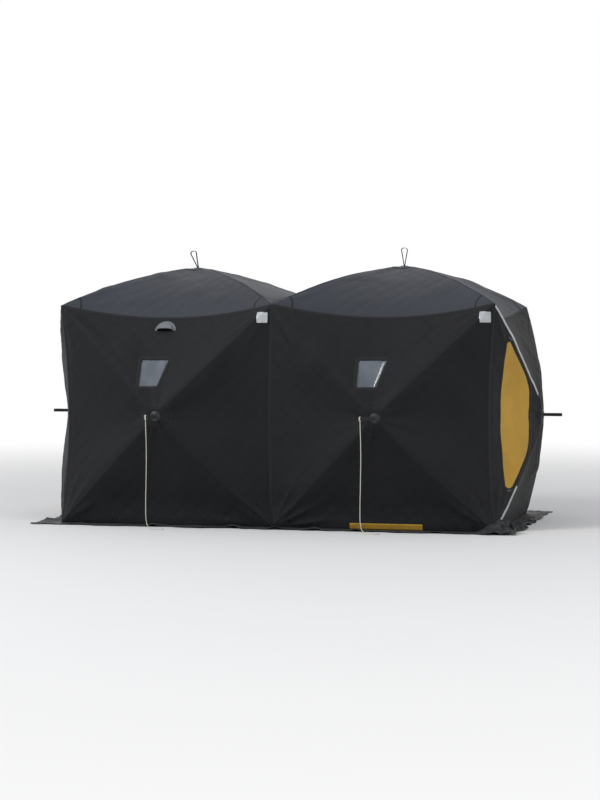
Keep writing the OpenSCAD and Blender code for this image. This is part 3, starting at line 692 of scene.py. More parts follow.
def mesh_object(name, parts, materials):
    """One smooth mesh object from its parts."""
    points, loops, sizes, uvs, count = [], [], [], [], 0
    for part, faces, uv in parts:
        for f in faces:
            loops.append(f.ravel() + count)
            sizes.append(np.full(len(f), f.shape[1]))
            uvs.append(uv[f.ravel()])
        points.append(part)
        count += len(part)
    sizes = np.concatenate(sizes)
    mesh = bpy.data.meshes.new(name)
    mesh.vertices.add(count)
    mesh.vertices.foreach_set("co", np.concatenate(points).astype(np.float32).ravel())
    mesh.loops.add(int(sizes.sum()))
    mesh.loops.foreach_set("vertex_index", np.concatenate(loops).astype(np.int32))
    mesh.polygons.add(len(sizes))
    mesh.polygons.foreach_set("loop_start", (sizes.cumsum() - sizes).astype(np.int32))
    mesh.polygons.foreach_set("use_smooth", np.ones(len(sizes), bool))
    layer = mesh.uv_layers.new(name="cloth")
    layer.data.foreach_set("uv", np.concatenate(uvs).astype(np.float32).ravel())
    mesh.update(calc_edges=True)
    mesh.validate()
    for material in materials:
        mesh.materials.append(material)
    obj = bpy.data.objects.new(name, mesh)
    bpy.context.scene.collection.objects.link(obj)
    return obj


def piece(name, parts, materials, thick=0):
    """A piece of the shelter: a surface that gets a thickness inwards, or a closed form with creases."""
    obj = mesh_object(name, parts, materials)
    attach(obj, "root")
    if thick:
        wall = obj.modifiers.new("thickness", "SOLIDIFY")
        wall.thickness = thick
        wall.offset = -1
        wall.use_even_offset = False
        wall.material_offset = wall.material_offset_rim = len(materials) - 1
    else:
        obj.data.set_sharp_from_angle(angle=math.radians(35))
    return obj


def fill(node, *ordered, **named):
    """Set or link a node's inputs: the first ones in use in order, and others by name with _ for a blank."""
    sockets = [*zip((q for q in node.inputs if q.enabled), ordered)]
    sockets += [(node.inputs[key.replace("_", " ")], value) for key, value in named.items()]
    for socket, value in sockets:
        if isinstance(value, bpy.types.NodeSocket):
            node.id_data.links.new(value, socket)
        else:
            socket.default_value = value


def add(tree, kind, *ordered, **named):
    """Add a node and give its first output in use. Small names are settings, and capital ones inputs."""
    node = tree.nodes.new("ShaderNode" + kind)
    for key in [key for key in named if key.islower()]:
        setattr(node, key, named.pop(key))
    fill(node, *ordered, **named)
    return next((q for q in node.outputs if q.enabled), None)


def begin(name, **values):
    """A new material, its shader with plain values set, the function that adds a node, and the maps."""
    material = bpy.data.materials.new(name)
    material.use_nodes = True
    shader = material.node_tree.nodes["Principled BSDF"]
    fill(shader, **values)
    node = partial(add, material.node_tree)
    return material, shader, node, node("TexCoord").node.outputs


def shade(colour, factor):
    """A colour times a factor, as a node's four numbers."""
    return [min(1, q * factor) for q in colour] + [1]


def clouded(node, place, colour, scale, detail, low, high):
    """Clouds of wear: a noise, and the colour that it carries from one tone to another."""
    noise = node("TexNoise", place["Object"], Scale=scale, Detail=detail)
    return noise, node("Mix", noise, shade(colour, low), shade(colour, high), data_type="RGBA")


def dashed(node, gap, width, along, pitch, share):
    """Thread in dashes: 1 where the gap to its line is under a width, over a share of each pitch along it."""
    part = node("Math", node("Math", along, pitch, operation="DIVIDE"), operation="FRACT")
    on = node("Math", part, share, operation="LESS_THAN")
    near = node("Math", gap, width, operation="LESS_THAN")
    return node("Math", on, near, operation="MULTIPLY")


def seen(node):
    """1 where the camera sees a thing, straight on, reflected or through clear film, and 0 for its light."""
    path = node("LightPath").node.outputs
    direct = node("Math", path["Is Camera Ray"], path["Is Glossy Ray"], operation="MAXIMUM")
    return node("Math", direct, path["Is Transmission Ray"], operation="MAXIMUM")


def woven(name, colour, thread, quilt=0, frost=0.0, rough=0.62, shine=0.16):
    """Woven polyester with a coated back: a matt plain weave, faded and dusty in broad clouds.

    A quilted cloth has crossed lines of lock stitch at the given spacing, with painted shade in their valleys.
    A frosted one is pale at its foot.
    """
    material, shader, node, place = begin(name, Sheen_Weight=0.04, Sheen_Roughness=0.45,
                                          Specular_IOR_Level=shine)
    x, y, _ = node("SeparateXYZ", place["UV"]).node.outputs
    clouds = node("TexNoise", place["Object"], Scale=2.2, Detail=5.0, Roughness=0.6)
    fibre = node("TexNoise", place["Object"], Scale=160.0, Detail=2.0)
    faded = node("MapRange", clouds, 0.3, 0.75)
    tone = node("Mix", faded, shade(colour, 0.82), shade(colour, 1.22), data_type="RGBA")
    grain = node("MapRange", fibre, To_Min=0.86, To_Max=1.14)
    tone = node("Mix", 1.0, tone, grain, data_type="RGBA", blend_type="MULTIPLY")
    warp, weft = (node("Math", node("Math", q, math.tau / thread, operation="MULTIPLY"), operation="SINE")
                  for q in (x, y))
    weave = node("Math", warp, weft, operation="MULTIPLY")
    height = node("Math", fibre, weave, operation="ADD")
    if quilt:
        tone, height = stitched(node, tone, height, x, y, quilt, colour)
    if frost:
        z = node("SeparateXYZ", place["Object"]).node.outputs["Z"]
        low = node("MapRange", z, 0.0, 0.26, 1.0, 0.0, interpolation_type="SMOOTHSTEP")
        rime = node("TexNoise", place["Object"], Scale=60.0, Detail=9.0, Roughness=0.8)
        rime = node("MapRange", rime, 0.3, 0.8, To_Max=frost)
        dust = node("Math", low, rime, operation="MULTIPLY")
        tone = node("Mix", dust, tone, linear("#b9bfc8") + [1], data_type="RGBA")
    gloss = node("MapRange", clouds, To_Min=rough - 0.08, To_Max=rough + 0.1)
    bump = node("Bump", Strength=0.35, Distance=0.0006, Height=height)
    fill(shader, Base_Color=tone, Roughness=gloss, Normal=bump)
    return material


def stitched(node, tone, height, x, y, pitch, colour):
    """Two crossed sets of quilting lines: a drawn-in valley with painted shade along it, and a dashed thread
    along its middle.
    """
    ways = [node("Math", x, y, operation=sign) for sign in ("ADD", "SUBTRACT")]
    gaps = []
    for way in ways:
        turns = node("Math", node("Math", way, pitch, operation="DIVIDE"), 0.5, operation="ADD")
        middle = node("Math", node("Math", turns, operation="FRACT"), 0.5, operation="SUBTRACT")
        gaps.append(node("Math", middle, operation="ABSOLUTE"))
    valley = node("Math", *gaps, operation="MINIMUM")
    # Stitches are 4 mm long and 0.8 mm wide, drawn 6 mm long, 9 mm apart and 2 mm wide so that they show
    threads = [dashed(node, gap, 0.0014 / pitch, way, 0.0127, 0.68) for gap, way in zip(gaps, reversed(ways))]
    thread = node("Math", *threads, operation="MAXIMUM")
    # Painted shade: the colour is darkened to 0.62 in a band along each quilting line, standing for the shade
    # in the valleys between the puffs
    valley_shade = node("MapRange", valley, From_Max=0.012 / pitch, To_Min=0.62, To_Max=1.0)
    drawn = node("Mix", 1.0, tone, valley_shade, data_type="RGBA", blend_type="MULTIPLY")
    sewn = node("Mix", thread, drawn, shade(colour, 2.4), data_type="RGBA")
    return sewn, node("Math", thread, 2.0, height, operation="MULTIPLY_ADD")


def tape_cloth(name, colour, rib, stitch_rows=(), thread_tone=2.2, rough=0.7):
    """Narrow woven tape: ribs across it, with rows of lock stitch at set distances from its middle line."""
    material, shader, node, place = begin(name, Sheen_Weight=0.04, Specular_IOR_Level=0.2)
    along, across, _ = node("SeparateXYZ", place["UV"]).node.outputs
    height = node("Math", node("Math", along, math.tau / rib, operation="MULTIPLY"), operation="SINE")
    clouds, tone = clouded(node, place, colour, 9.0, 4.0, 0.75, 1.35)
    for row in stitch_rows:
        gap = node("Math", node("Math", across, row, operation="SUBTRACT"), operation="ABSOLUTE")
        thread = dashed(node, gap, 0.0011, along, 0.009, 0.7)
        tone = node("Mix", thread, tone, shade(colour, thread_tone), data_type="RGBA")
        height = node("Math", thread, 2.0, height, operation="MULTIPLY_ADD")
    gloss = node("MapRange", clouds, To_Min=rough - 0.08, To_Max=rough + 0.08)
    bump = node("Bump", Strength=0.4, Distance=0.0005, Height=height)
    fill(shader, Base_Color=tone, Roughness=gloss, Normal=bump)
    return material


def vinyl_film(name, colour):
    """Clear flexible vinyl: cold film that has gone milky in clouds, with broad ripples."""
    material, shader, node, place = begin(name, IOR=1.53, Specular_IOR_Level=0.7)
    milk, tone = clouded(node, place, colour, 7.0, 4.0, 0.7, 1.1)
    clear = node("MapRange", milk, To_Min=0.3, To_Max=0.5)
    gloss = node("MapRange", milk, To_Min=0.10, To_Max=0.18)
    sway = node("TexNoise", place["Object"], Scale=11.0, Detail=0.0)
    bump = node("Bump", Strength=0.15, Distance=0.002, Height=sway)
    fill(shader, Base_Color=tone, Alpha=clear, Roughness=gloss, Normal=bump)
    return material


def moulded_nylon(name, colour, rough=0.46):
    """Injection-moulded nylon: a fine spark-eroded grain, paler and smoother where hands have rubbed it."""
    material, shader, node, place = begin(name, Specular_IOR_Level=0.35)
    wear, tone = clouded(node, place, colour, 14.0, 4.0, 0.8, 1.5)
    gloss = node("MapRange", wear, To_Min=rough + 0.1, To_Max=rough - 0.1)
    grain = node("TexNoise", place["Object"], Scale=700.0, Detail=2.0)
    bump = node("Bump", Strength=0.25, Distance=0.0002, Height=grain)
    fill(shader, Base_Color=tone, Roughness=gloss, Normal=bump)
    return material


def bare_metal(name, colour, rough, grain_scale):
    """Bare metal: dull clouds of oxide and a fine cast or rolled grain."""
    material, shader, node, place = begin(name, Metallic=1.0)
    oxide, tone = clouded(node, place, colour, 30.0, 5.0, 0.72, 1.08)
    gloss = node("MapRange", oxide, To_Min=rough - 0.08, To_Max=rough + 0.14)
    grain = node("TexNoise", place["Object"], Scale=grain_scale, Detail=3.0)
    bump = node("Bump", Strength=0.3, Distance=0.0003, Height=grain)
    fill(shader, Base_Color=tone, Roughness=gloss, Normal=bump)
    return material


def braided_rope(name, colour, carrier=0.0047):
    """Braided polyester cord: round carriers of the given width cross round it, with painted shade in the gaps
    between them.
    """
    material, shader, node, place = begin(name, Sheen_Weight=0.2, Roughness=0.78)
    along, round_it, _ = node("SeparateXYZ", place["UV"]).node.outputs
    sets = []
    for sign in ("ADD", "SUBTRACT"):
        way = node("Math", along, round_it, operation=sign)
        turn = node("Math", way, math.tau / carrier, operation="MULTIPLY")
        sets.append(node("Math", turn, operation="SINE"))
    strand = node("Math", *sets, operation="MULTIPLY")
    # Painted shade: the colour goes down to 0.55 where the carriers dip, standing for the shade in the gaps
    # between them
    gap = node("MapRange", strand, From_Min=-1.0, To_Min=0.55)
    _, tone = clouded(node, place, colour, 18.0, 5.0, 0.72, 1.02)
    shaded_braid = node("Mix", 1.0, tone, gap, data_type="RGBA", blend_type="MULTIPLY")
    bump = node("Bump", Strength=0.5, Distance=0.0005, Height=strand)
    fill(shader, Base_Color=shaded_braid, Normal=bump)
    return material


def bead_film(name, colour):
    """Retroreflective tape: glass beads on silvered film, in a fine honeycomb, scuffed to grey in clouds."""
    material, shader, node, place = begin(name, Metallic=0.25)
    scuff, tone = clouded(node, place, colour, 20.0, 6.0, 0.68, 1.05)
    gloss = node("MapRange", scuff, To_Min=0.5, To_Max=0.28)
    # Cells of the film are 3 mm across
    cells = node("TexVoronoi", place["Object"], Scale=330.0, feature="DISTANCE_TO_EDGE")
    bump = node("Bump", Strength=0.3, Distance=0.0003, Height=cells)
    fill(shader, Base_Color=tone, Roughness=gloss, Normal=bump)
    return material


def jointed_pole(name, centre, reach, pole, steel, plastic):
    """Bent glass-fibre pole: resin over drawn fibres, a steel ferrule near its hub and a nylon tip at its end.

    The three are told apart by their distance from the hub's centre, with the poles' reach as the largest.
    """
    material, shader, node, place = begin(name)
    far = node("VectorMath", place["Object"], centre, operation="DISTANCE")
    metal = node("Math", far, FERRULE_END, operation="LESS_THAN")
    tip = node("Math", far, reach - TIP, operation="GREATER_THAN")
    fibre, tone = clouded(node, place, pole, 260.0, 3.0, 0.78, 1.1)
    tone = node("Mix", metal, tone, shade(steel, 1), data_type="RGBA")
    tone = node("Mix", tip, tone, shade(plastic, 1), data_type="RGBA")
    gloss = node("MapRange", fibre, To_Min=0.28, To_Max=0.46)
    bump = node("Bump", Strength=0.15, Distance=0.0002, Height=fibre)
    fill(shader, Base_Color=tone, Metallic=metal, Roughness=gloss, Normal=bump)
    return material


# Operators


def settings(context):
    """The bays and the groups of sizes and colours."""
    scene = context.scene
    return bays(context), scene.shelter_trim, scene.shelter_cloth, scene.shelter_hardware


def rope_path(bay, lean):
    """Route of a guy rope, with the top just under the far end of its bay's pull loop."""
    reach = LOOP_L - STRAP_T
    x, y, top = bay.world(np.array([-math.sin(lean) * reach, -STRAP_W / 2 - CLEARANCE,
                                    bay.rise + CLEARANCE + CAP_H + math.cos(lean) * reach]))
    fall = [[x + across / 1000, y, top - drop / 1000] for across, drop in ROPE_FALL]
    return np.array(fall + [[x + across / 1000, y, z / 1000] for across, z in ROPE_LIE])


class SHELTER_OT_ropes(Operator):
    """Hang the two guy ropes from the front pull loops, with their hitches and stopper knots"""
    bl_idname = "shelter.ropes"
    bl_label = "Hang the guy ropes"

    def execute(self, context):
        found, trim, cloth, _ = settings(context)
        fibre = [braided_rope("braided_polyester_cord", cloth.rope)]
        radius = trim.rope / 2
        for (name, lean), side in zip(LOOPS["front_pull_loops"], ("left", "right")):
            lean = math.radians(lean)
            path = spline(rope_path(found[name], lean), 0.0025)
            rope = piece(f"{side}_rope", [braid(path, [0, 1, 0], radius)], fibre)
            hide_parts(f"{side}_guy_rope")
            knot = piece(f"{side}_rope_stopper", self.stopper(path[-1], radius), fibre)
            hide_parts("rope_knots")
            hitch = piece(f"{side}_rope_hitch", self.hitch(path[0], lean, radius), fibre)
            round(float(run_of(path)[-1]), 3)
        return {"FINISHED"}

    @staticmethod
    def stopper(end, radius):
        """Tightened overhand knot: a trefoil curve drawn long along the rope, and a short tail."""
        t = np.linspace(0, math.tau, 120, endpoint=False)
        turn = np.stack([1.725 * np.sin(3 * t), np.sin(t) + 2 * np.sin(2 * t), np.cos(t) - 2 * np.cos(2 * t)],
                        -1)
        middle = end + [0.0078, 0, 0.0042]
        tail = np.linspace(middle, middle + [0.014, 0.002, -0.0035], 8)
        return [braid(middle + turn * radius * 0.46, [1, 0.2, 0.1], radius * 0.94, closed=True),
                braid(tail, [0, 1, 0], radius * 0.9)]

    @staticmethod
    def hitch(top, lean, radius):
        """Cow hitch: two turns round the webbing's edge-on band, closed by a bar, at the rope's start."""
        out = np.array([-math.sin(lean), -math.cos(lean), 0])
        along = np.array([math.cos(lean), -math.sin(lean), 0])
        up = np.array([0, 0, 1])
        t = np.linspace(0, math.tau, 72, endpoint=False)[:, None]
        tall, thin = STRAP_W / 2 + radius * 0.9, STRAP_T / 2 + radius
        bow = np.sign(np.sin(t)) * np.abs(np.sin(t)) ** 0.8
        ring = top + up * (STRAP_W / 2 + CLEARANCE + tall * bow) + out * (STRAP_T / 2 + thin * np.cos(t))
        s = np.linspace(0, math.pi, 24)[:, None]
        bar = top - up * 0.004 + along * radius * 2.0 * np.cos(s) + out * (radius * 1.3 * np.sin(s) + 0.001)
        return [braid(ring + along * radius * shift, along, radius * 0.95, closed=True)
                for shift in (-1.15, 1.15)] + [braid(bar, up, radius * 0.95)]


class SHELTER_OT_shell(Operator):
    """Sew the six wall panels and the two roof panels, with their windows, doors and vent slots cut out"""
    bl_idname = "shelter.shell"
    bl_label = "Sew the shell"

    def execute(self, context):
        found, _, cloth, _ = settings(context)
        sizes = context.scene.shelter_shell
        pitch = sizes.length / 2 / sizes.quilts
        wall = woven("coated_polyester_walls", cloth.wall, 0.004, pitch, frost=WALL_RIME)
        # The roof colour is partly painted sky light, paler and bluer than the walls' cloth
        roof = woven("coated_polyester_roof", cloth.roof, 0.004, pitch, rough=0.55, shine=0.3)
        liner = woven("polyester_liner", cloth.liner, 0.003, pitch)
        for name, bay in found.items():
            part = shell(bay)
            obj = piece(name + "_shell", [part], [roof if bay.top else wall, liner], sizes.cloth)
            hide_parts(name if bay.top else name + "_wall")
            cut_size(bay)
            cut_area(bay, part)
        return {"FINISHED"}


def cut_size(bay):
    """Width and length of the cloth that a panel is cut from: the lines over its hub from edge to edge."""
    s = np.linspace(-1, 1, 200)
    return [round(float(run_of(line)[-1]), 3) for line in (bay.base(s, 0 * s), bay.base(0 * s, s))]


def cut_area(bay, part):
    """Flat area of a cut panel: its triangles' areas, less the little that the quilting takes up."""
    points, faces, _ = part
    a, b, c = points[faces[0].T]
    area = float(np.linalg.norm(np.cross(b - a, c - a), axis=1).sum() / 2)
    width, length = cut_size(bay)
    return round(min(area, width * length), 3)


class SHELTER_OT_windows(Operator):
    """Set the film panes behind their holes and bind the holes' edges"""
    bl_idname = "shelter.windows"
    bl_label = "Set the windows"

    def execute(self, context):
        found, trim, cloth, _ = settings(context)
        film = vinyl_film("clear_vinyl_film", cloth.film)
        binding = tape_cloth("grosgrain_window_binding", cloth.binding, 0.003, (-0.008, 0.008))
        depth = context.scene.shelter_shell.cloth + 0.001
        outline = window_outline(PANE_LAP)
        for k, name in enumerate(WINDOW_BAYS):
            bay = found[name]

            def lift(place, k=k, bay=bay):
                """Film without the wall's quilting: ripples, and on all but the first a crease by its slant."""
                x, y = place.T
                gap = nearest(outline, place)[1]
                lean = (x + 0.020) - (y - WINDOW_FOOT) * 0.34
                crease = np.exp(-(lean / 0.014) ** 2) * (k > 0)
                wave = 0.0005 * ripples(700 + k, x, y, 0.12, 0.3) + 0.0055 * crease
                quilted = bay.relief(*bay.uv_at(x, y)) * smooth(gap, 0, PANE_LAP)
                return wave * smooth(gap, 0.006, 0.04) - depth - 0.0012 - quilted

            obj = piece(name + "_pane", [stretch(bay, outline, 0.006, lift)], [film], 0.0008)
            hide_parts(name + "_window")
            bound = tape(bay, window_outline(0), flat_section(trim.frame, 0.0022, depth + 0.001), closed=True)
            piece(name + "_window_binding", [bound], [binding])
        return {"FINISHED"}


class SHELTER_OT_doors(Operator):
    """Hang the D-shaped door flaps, with their zips, sliders and sewn hinge side"""
    bl_idname = "shelter.doors"
    bl_label = "Hang the doors"

    def execute(self, context):
        found, trim, cloth, hardware = settings(context)
        gold = woven("coated_polyester_doors", cloth.door, 0.004, rough=0.55)
        liner = woven("polyester_door_liner", cloth.liner, 0.003)
        zip_tape = tape_cloth("polyester_zip_tape", cloth.binding, 0.002, (-0.012, 0.012), 3.0)
        coil = moulded_nylon("nylon_zip_coil", cloth.webbing, 0.35)
        binding = tape_cloth("grosgrain_door_hinge", cloth.binding, 0.003, (-0.008, 0.008))
        slider = bare_metal("blackened_zinc_sliders", hardware.blackened, 0.42, 400.0)
        outline = rounded(*door_points(SEAM_GAP))
        for name in DOOR_BAYS:
            bay = found[name]
            door = name.split("_")[0] + "_door"
            flap = stretch(bay, outline, 0.014, 0.0)
            obj = piece(door + "_flap", [flap], [gold, liner], bay.sizes.cloth - 0.001)
            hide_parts(door)
            points, radii = door_points(0)
            line = rounded(points, radii, 0.01)
            hinge = np.abs(line[:, 0] - points[0, 0]) < 0.002
            start = np.flatnonzero(hinge & ~np.roll(hinge, 1))[0]
            line, hinge = np.roll(line, -start, axis=0), np.roll(hinge, -start)
            zipped = line[~hinge]
            sewn = np.concatenate([zipped[-1:], line[hinge], zipped[:1]])
            part = tape(bay, sewn, flat_section(trim.frame, 0.0022))
            piece(door + "_hinge_binding", [part], [binding])
            part = tape(bay, zipped, flat_section(trim.zip_tape, 0.0018))
            piece(door + "_zip_tape", [part], [zip_tape])
            part = self.coil(bay, even(zipped, 0.0034), trim.coil)
            piece(door + "_zip_coil", [part], [coil])
            parts = self.slider(bay, zipped, 1) + self.slider(bay, zipped, -1)
            piece(door + "_zip_sliders", parts, [slider])
        return {"FINISHED"}

    @staticmethod
    def coil(bay, path, width):
        """Teeth of a coil zip, one low block a step, each wider at its foot than at its crown."""
        at, *axes = frames(bay, path, 0.0018)
        half, long, high = width / 2, 0.0011, 0.0026
        foot = np.array([[-long, -half, 0], [long, -half, 0], [long, half, 0], [-long, half, 0]])
        corner = np.concatenate([foot, foot * [0.6, 0.7, 1] + [0, 0, high]])
        points = (at[:, None] + corner @ np.stack(axes, 1)).reshape(-1, 3)
        faces = np.concatenate([[[0, 3, 2, 1], [4, 5, 6, 7]], quads(2, 4, False, True)])
        faces = (faces + 8 * np.arange(len(path))[:, None, None]).reshape(-1, 4)
        return points, outward(points, [faces]), np.zeros((len(points), 2))

    @staticmethod
    def slider(bay, path, turn, share=0.035):
        """Zip slider a share of the way in from its zip's end: a waisted body, and a pull tab on a bail."""
        count = round(share * len(path))
        index = count if turn > 0 else len(path) - 1 - count
        at, *axes = (q[index] for q in frames(bay, path, 0.0016))
        body = rounded([[-0.010, -0.0065], [0.004, -0.0085], [0.012, -0.005], [0.012, 0.005], [0.004, 0.0085],
                        [-0.010, 0.0065]], [0.002, 0.004, 0.003, 0.003, 0.004, 0.002], 0.0015)
        tab = rounded([[-0.005, -0.0045], [-0.052, -0.006], [-0.052, 0.006], [-0.005, 0.0045]],
                      [0.0035, 0.005, 0.005, 0.0035], 0.0015)
        w = np.linspace(0, math.pi, 16)[:, None]
        bail = np.hstack([0.006 * np.cos(w), 0 * w, 0.005 + 0.005 * np.sin(w)])
        parts = [prism(body, 0.0028, 0.0050, 0.0006), prism(tab, 0.0066, 0.0084, 0.0005),
                 swept(bail, [(-0.002, -0.001), (0.002, -0.001), (0.002, 0.001), (-0.002, 0.001)])]
        return [moved(part, lambda local: at + local * [turn, turn, 1] @ np.array(axes)) for part in parts]


class SHELTER_OT_seams(Operator):
    """Bind the seams between the panels, hem the foot and sew on the reinforcement patches"""
    bl_idname = "shelter.seams"
    bl_label = "Bind the seams"

    def execute(self, context):
        found, trim, cloth, _ = settings(context)
        binding = [tape_cloth("grosgrain_seam_binding", cloth.binding, 0.003, (-0.008, 0.008))]
        for name, a, edge_a, b, edge_b, turn in SEAMS:
            part = seam(found[a], edge_a, found[b], edge_b, turn, trim.seam)
            piece(name + "_seam", [part], binding)
        felled_rows = (-0.0045, 0.0045)
        felled_wall = tape_cloth("felled_wall_seams", cloth.wall, 0.004, felled_rows, 2.6, 0.82)
        felled_roof = tape_cloth("felled_roof_seams", cloth.roof, 0.004, felled_rows, 2.0, 0.82)
        heavy_wall = woven("heavy_polyester_wall_patches", cloth.wall, 0.006, frost=WALL_RIME)
        heavy_roof = woven("heavy_polyester_roof_patches", cloth.roof, 0.006, rough=0.55, shine=0.3)
        w = np.linspace(0, math.tau, 60, endpoint=False)
        ring = np.column_stack([np.cos(w), np.sin(w)]) * trim.hub_patch
        r = np.linspace(0.012, trim.corner_patch, 10)[:, None]
        w = np.linspace(0, math.pi / 2, 24)
        share = np.linspace(0.10, 0.975, 100)
        s = np.linspace(-1, 1, 150)
        hem = [(1, 0.0004), (0.95, 0.0014), (0.1, 0.0016), (0, 0.0010), (0, -0.0015), (1, -0.0015)]
        for name, bay in found.items():
            heavy, felled = (heavy_roof, felled_roof) if bay.top else (heavy_wall, felled_wall)
            piece(name + "_hub_patch", [stretch(bay, ring, 0.010, 0.0011)], [heavy], 0.002)
            edges, fans, ridges = [tape(bay, ring, flat_section(0.012, 0.0022), closed=True)], [], []
            for su, sv in CORNERS:
                u = su * (1 - (0.010 + r * np.cos(w)) / bay.a)
                v = sv * (1 - (0.010 + r * np.sin(w)) / bay.c)
                faces = quads(10, 24)[:, ::-su * sv]
                fans.append((bay.skin(u, v, 0.0011).reshape(-1, 3), [faces], bay.cloth_uv(u, v)))
                edges.append(tape(bay, bay.base(u[-1], v[-1])[:, :2], flat_section(0.012, 0.0022)))
                ridges.append(tape(bay, bay.base(su * share, sv * share)[:, :2], flat_section(0.014, 0.0012)))
            piece(name + "_corner_patches", fans, [heavy], 0.002)
            piece(name + "_patch_edges", edges, binding)
            piece(name + "_ridge_seams", ridges, [felled])
            if not bay.top:
                grid = np.stack([bay.rim("bottom", s, k * trim.hem, lift) for k, lift in hem], 1)
                uv = pairs((s * bay.a)[:, None], [k * trim.hem for k, _ in hem])
                piece(name + "_hem", [tube(grid, uv=uv)], binding)
        return {"FINISHED"}


class SHELTER_OT_reflectors(Operator):
    """Sew on the reflective patches, the reflective tape along the end walls' ridges and the foot band"""
    bl_idname = "shelter.reflectors"
    bl_label = "Sew on the reflectors"

    def execute(self, context):
        found, trim, cloth, _ = settings(context)
        beads = [bead_film("retroreflective_bead_film", cloth.reflector)]
        binding = [tape_cloth("grosgrain_patch_binding", cloth.binding, 0.003)]
        gold = [woven("coated_polyester_foot_band", cloth.door, 0.004)]
        squares, edges = [], []
        side, drop, width = 0.028, 0.060, 0.090
        for name in WINDOW_BAYS:
            bay = found[name]
            outline = rectangle(bay.a - side - width, bay.c - drop - width, width, width, 0.008)
            squares.append(stretch(bay, outline, 0.009, 0.0042))
            edges.append(tape(bay, outline, flat_section(0.007, 0.0050), closed=True))
        obj = piece("reflective_squares", squares, beads, 0.0048)
        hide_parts("reflective_patches")
        piece("reflective_square_edges", edges, binding)
        for name in DOOR_BAYS:
            bay = found[name]
            parts = []
            for up, end in ((1, 0.19), (-1, 0.62)):
                share = np.linspace(0.985, end, 120)
                line = bay.base(-share, share * up)[:, :2]
                parts.append(tape(bay, line, flat_section(trim.piping, 0.0036)))
            piece(name + "_ridge_piping", parts, beads)
        bay = found["front_right"]
        outline = rectangle(-0.256, 0.005 - bay.c, 0.590, 0.048, 0.003)
        obj = piece("gold_foot_band", [stretch(bay, outline, 0.010, 0.0042)], gold, 0.0045)
        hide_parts("foot_band")
        return {"FINISHED"}


class SHELTER_OT_loops(Operator):
    """Bolt the caps to the hubs and sew the webbing pull loops under them"""
    bl_idname = "shelter.loops"
    bl_label = "Fit caps and pull loops"

    def execute(self, context):
        found, _, cloth, hardware = settings(context)
        web = tape_cloth("woven_webbing_loops", cloth.webbing, 0.0035, (-0.009, 0.009), 2.6)
        nylon = moulded_nylon("moulded_nylon_caps", hardware.plastic)
        steel = bare_metal("blackened_steel_bolts", hardware.blackened, 0.4, 500.0)
        for node, loops in LOOPS.items():
            straps, caps, bolts = [], [], []
            for name, lean in loops:
                bay = found[name]

                def put(local, bay=bay):
                    """From the hub's own frame, with its face at 0, into the shelter's."""
                    return bay.world(local + [0, 0, bay.rise + CLEARANCE])

                straps.append(moved(self.strap(math.radians(lean)), put))
                caps += [moved(part, put) for part in self.cap()]
                bolts += [moved(part, put) for part in self.bolts()]
            obj = piece(node + "_webbing", straps, [web])
            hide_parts(node)
            piece(node + "_caps", caps, [nylon])
            piece(node + "_bolts", bolts, [steel])
        return {"FINISHED"}

    @staticmethod
    def strap(lean):
        """Teardrop of webbing: two legs that meet at the cap and spread to a round bight at the far end."""
        half, thick = STRAP_W / 2, STRAP_T / 2
        reach = LOOP_L + STRAP_T
        far = reach - thick
        side = thick + (far - STRAP_T) * LOOP_W / 2 / reach
        line = rounded([[-thick, 0], [-side, far], [side, far], [thick, 0]], [0, LOOP_BEND, LOOP_BEND, 0],
                       0.004, closed=False)
        x, z = (line @ np.array([[math.cos(lean), math.sin(lean)], [-math.sin(lean), math.cos(lean)]])).T
        lower = np.array([[-1, -0.4], [-0.94, -0.9], [0, -1], [0.94, -0.9], [1, -0.4]])
        section = np.concatenate([lower, -lower]) * [half, thick]
        return swept(np.column_stack([x, 0 * x, z + CAP_H - STRAP_T]), section)

    @staticmethod
    def cap():
        """Moulded cap: a dished disc with a bead at its rim, a step and six short ribs."""
        r = CAP_D / 2
        profile = [(0.0, 0.0), (r - 0.001, 0.0), (r, 0.0008), (r - 0.0006, 0.0026), (r - 0.003, 0.0036),
                   (r - 0.006, 0.0040), (r - 0.009, 0.0058), (r - 0.0105, 0.0066), (0.020, 0.0070),
                   (0.0185, CAP_H - 0.0006), (0.0175, CAP_H), (0.0, CAP_H)]
        rib = prism(np.array([[0.019, -0.0012], [r - 0.009, -0.0009], [r - 0.009, 0.0009], [0.019, 0.0012]]),
                    0.005, 0.0082, 0.0004)
        parts = [turned(profile, 64)]
        for w in math.tau * (np.arange(6) + 0.5) / 6:
            axes = np.array([[math.cos(w), math.sin(w), 0], [-math.sin(w), math.cos(w), 0], [0, 0, 1]])
            parts.append(moved(rib, lambda q: q @ axes))
        return parts

    @staticmethod
    def bolts():
        """Two pan-head bolts beside the webbing, on washers."""
        washer = turned([(0, 0.0062), (0.0062, 0.0062), (0.0062, 0.0074), (0, 0.0074)])
        head = turned([(0, 0.007), (0.0042, 0.007), (0.0046, 0.0082), (0.0040, 0.0098), (0.0026, 0.0106),
                       (0, 0.0108)])
        return [moved(part, lambda q: q + [0, y, 0]) for y in (-0.0245, 0.0245) for part in (washer, head)]


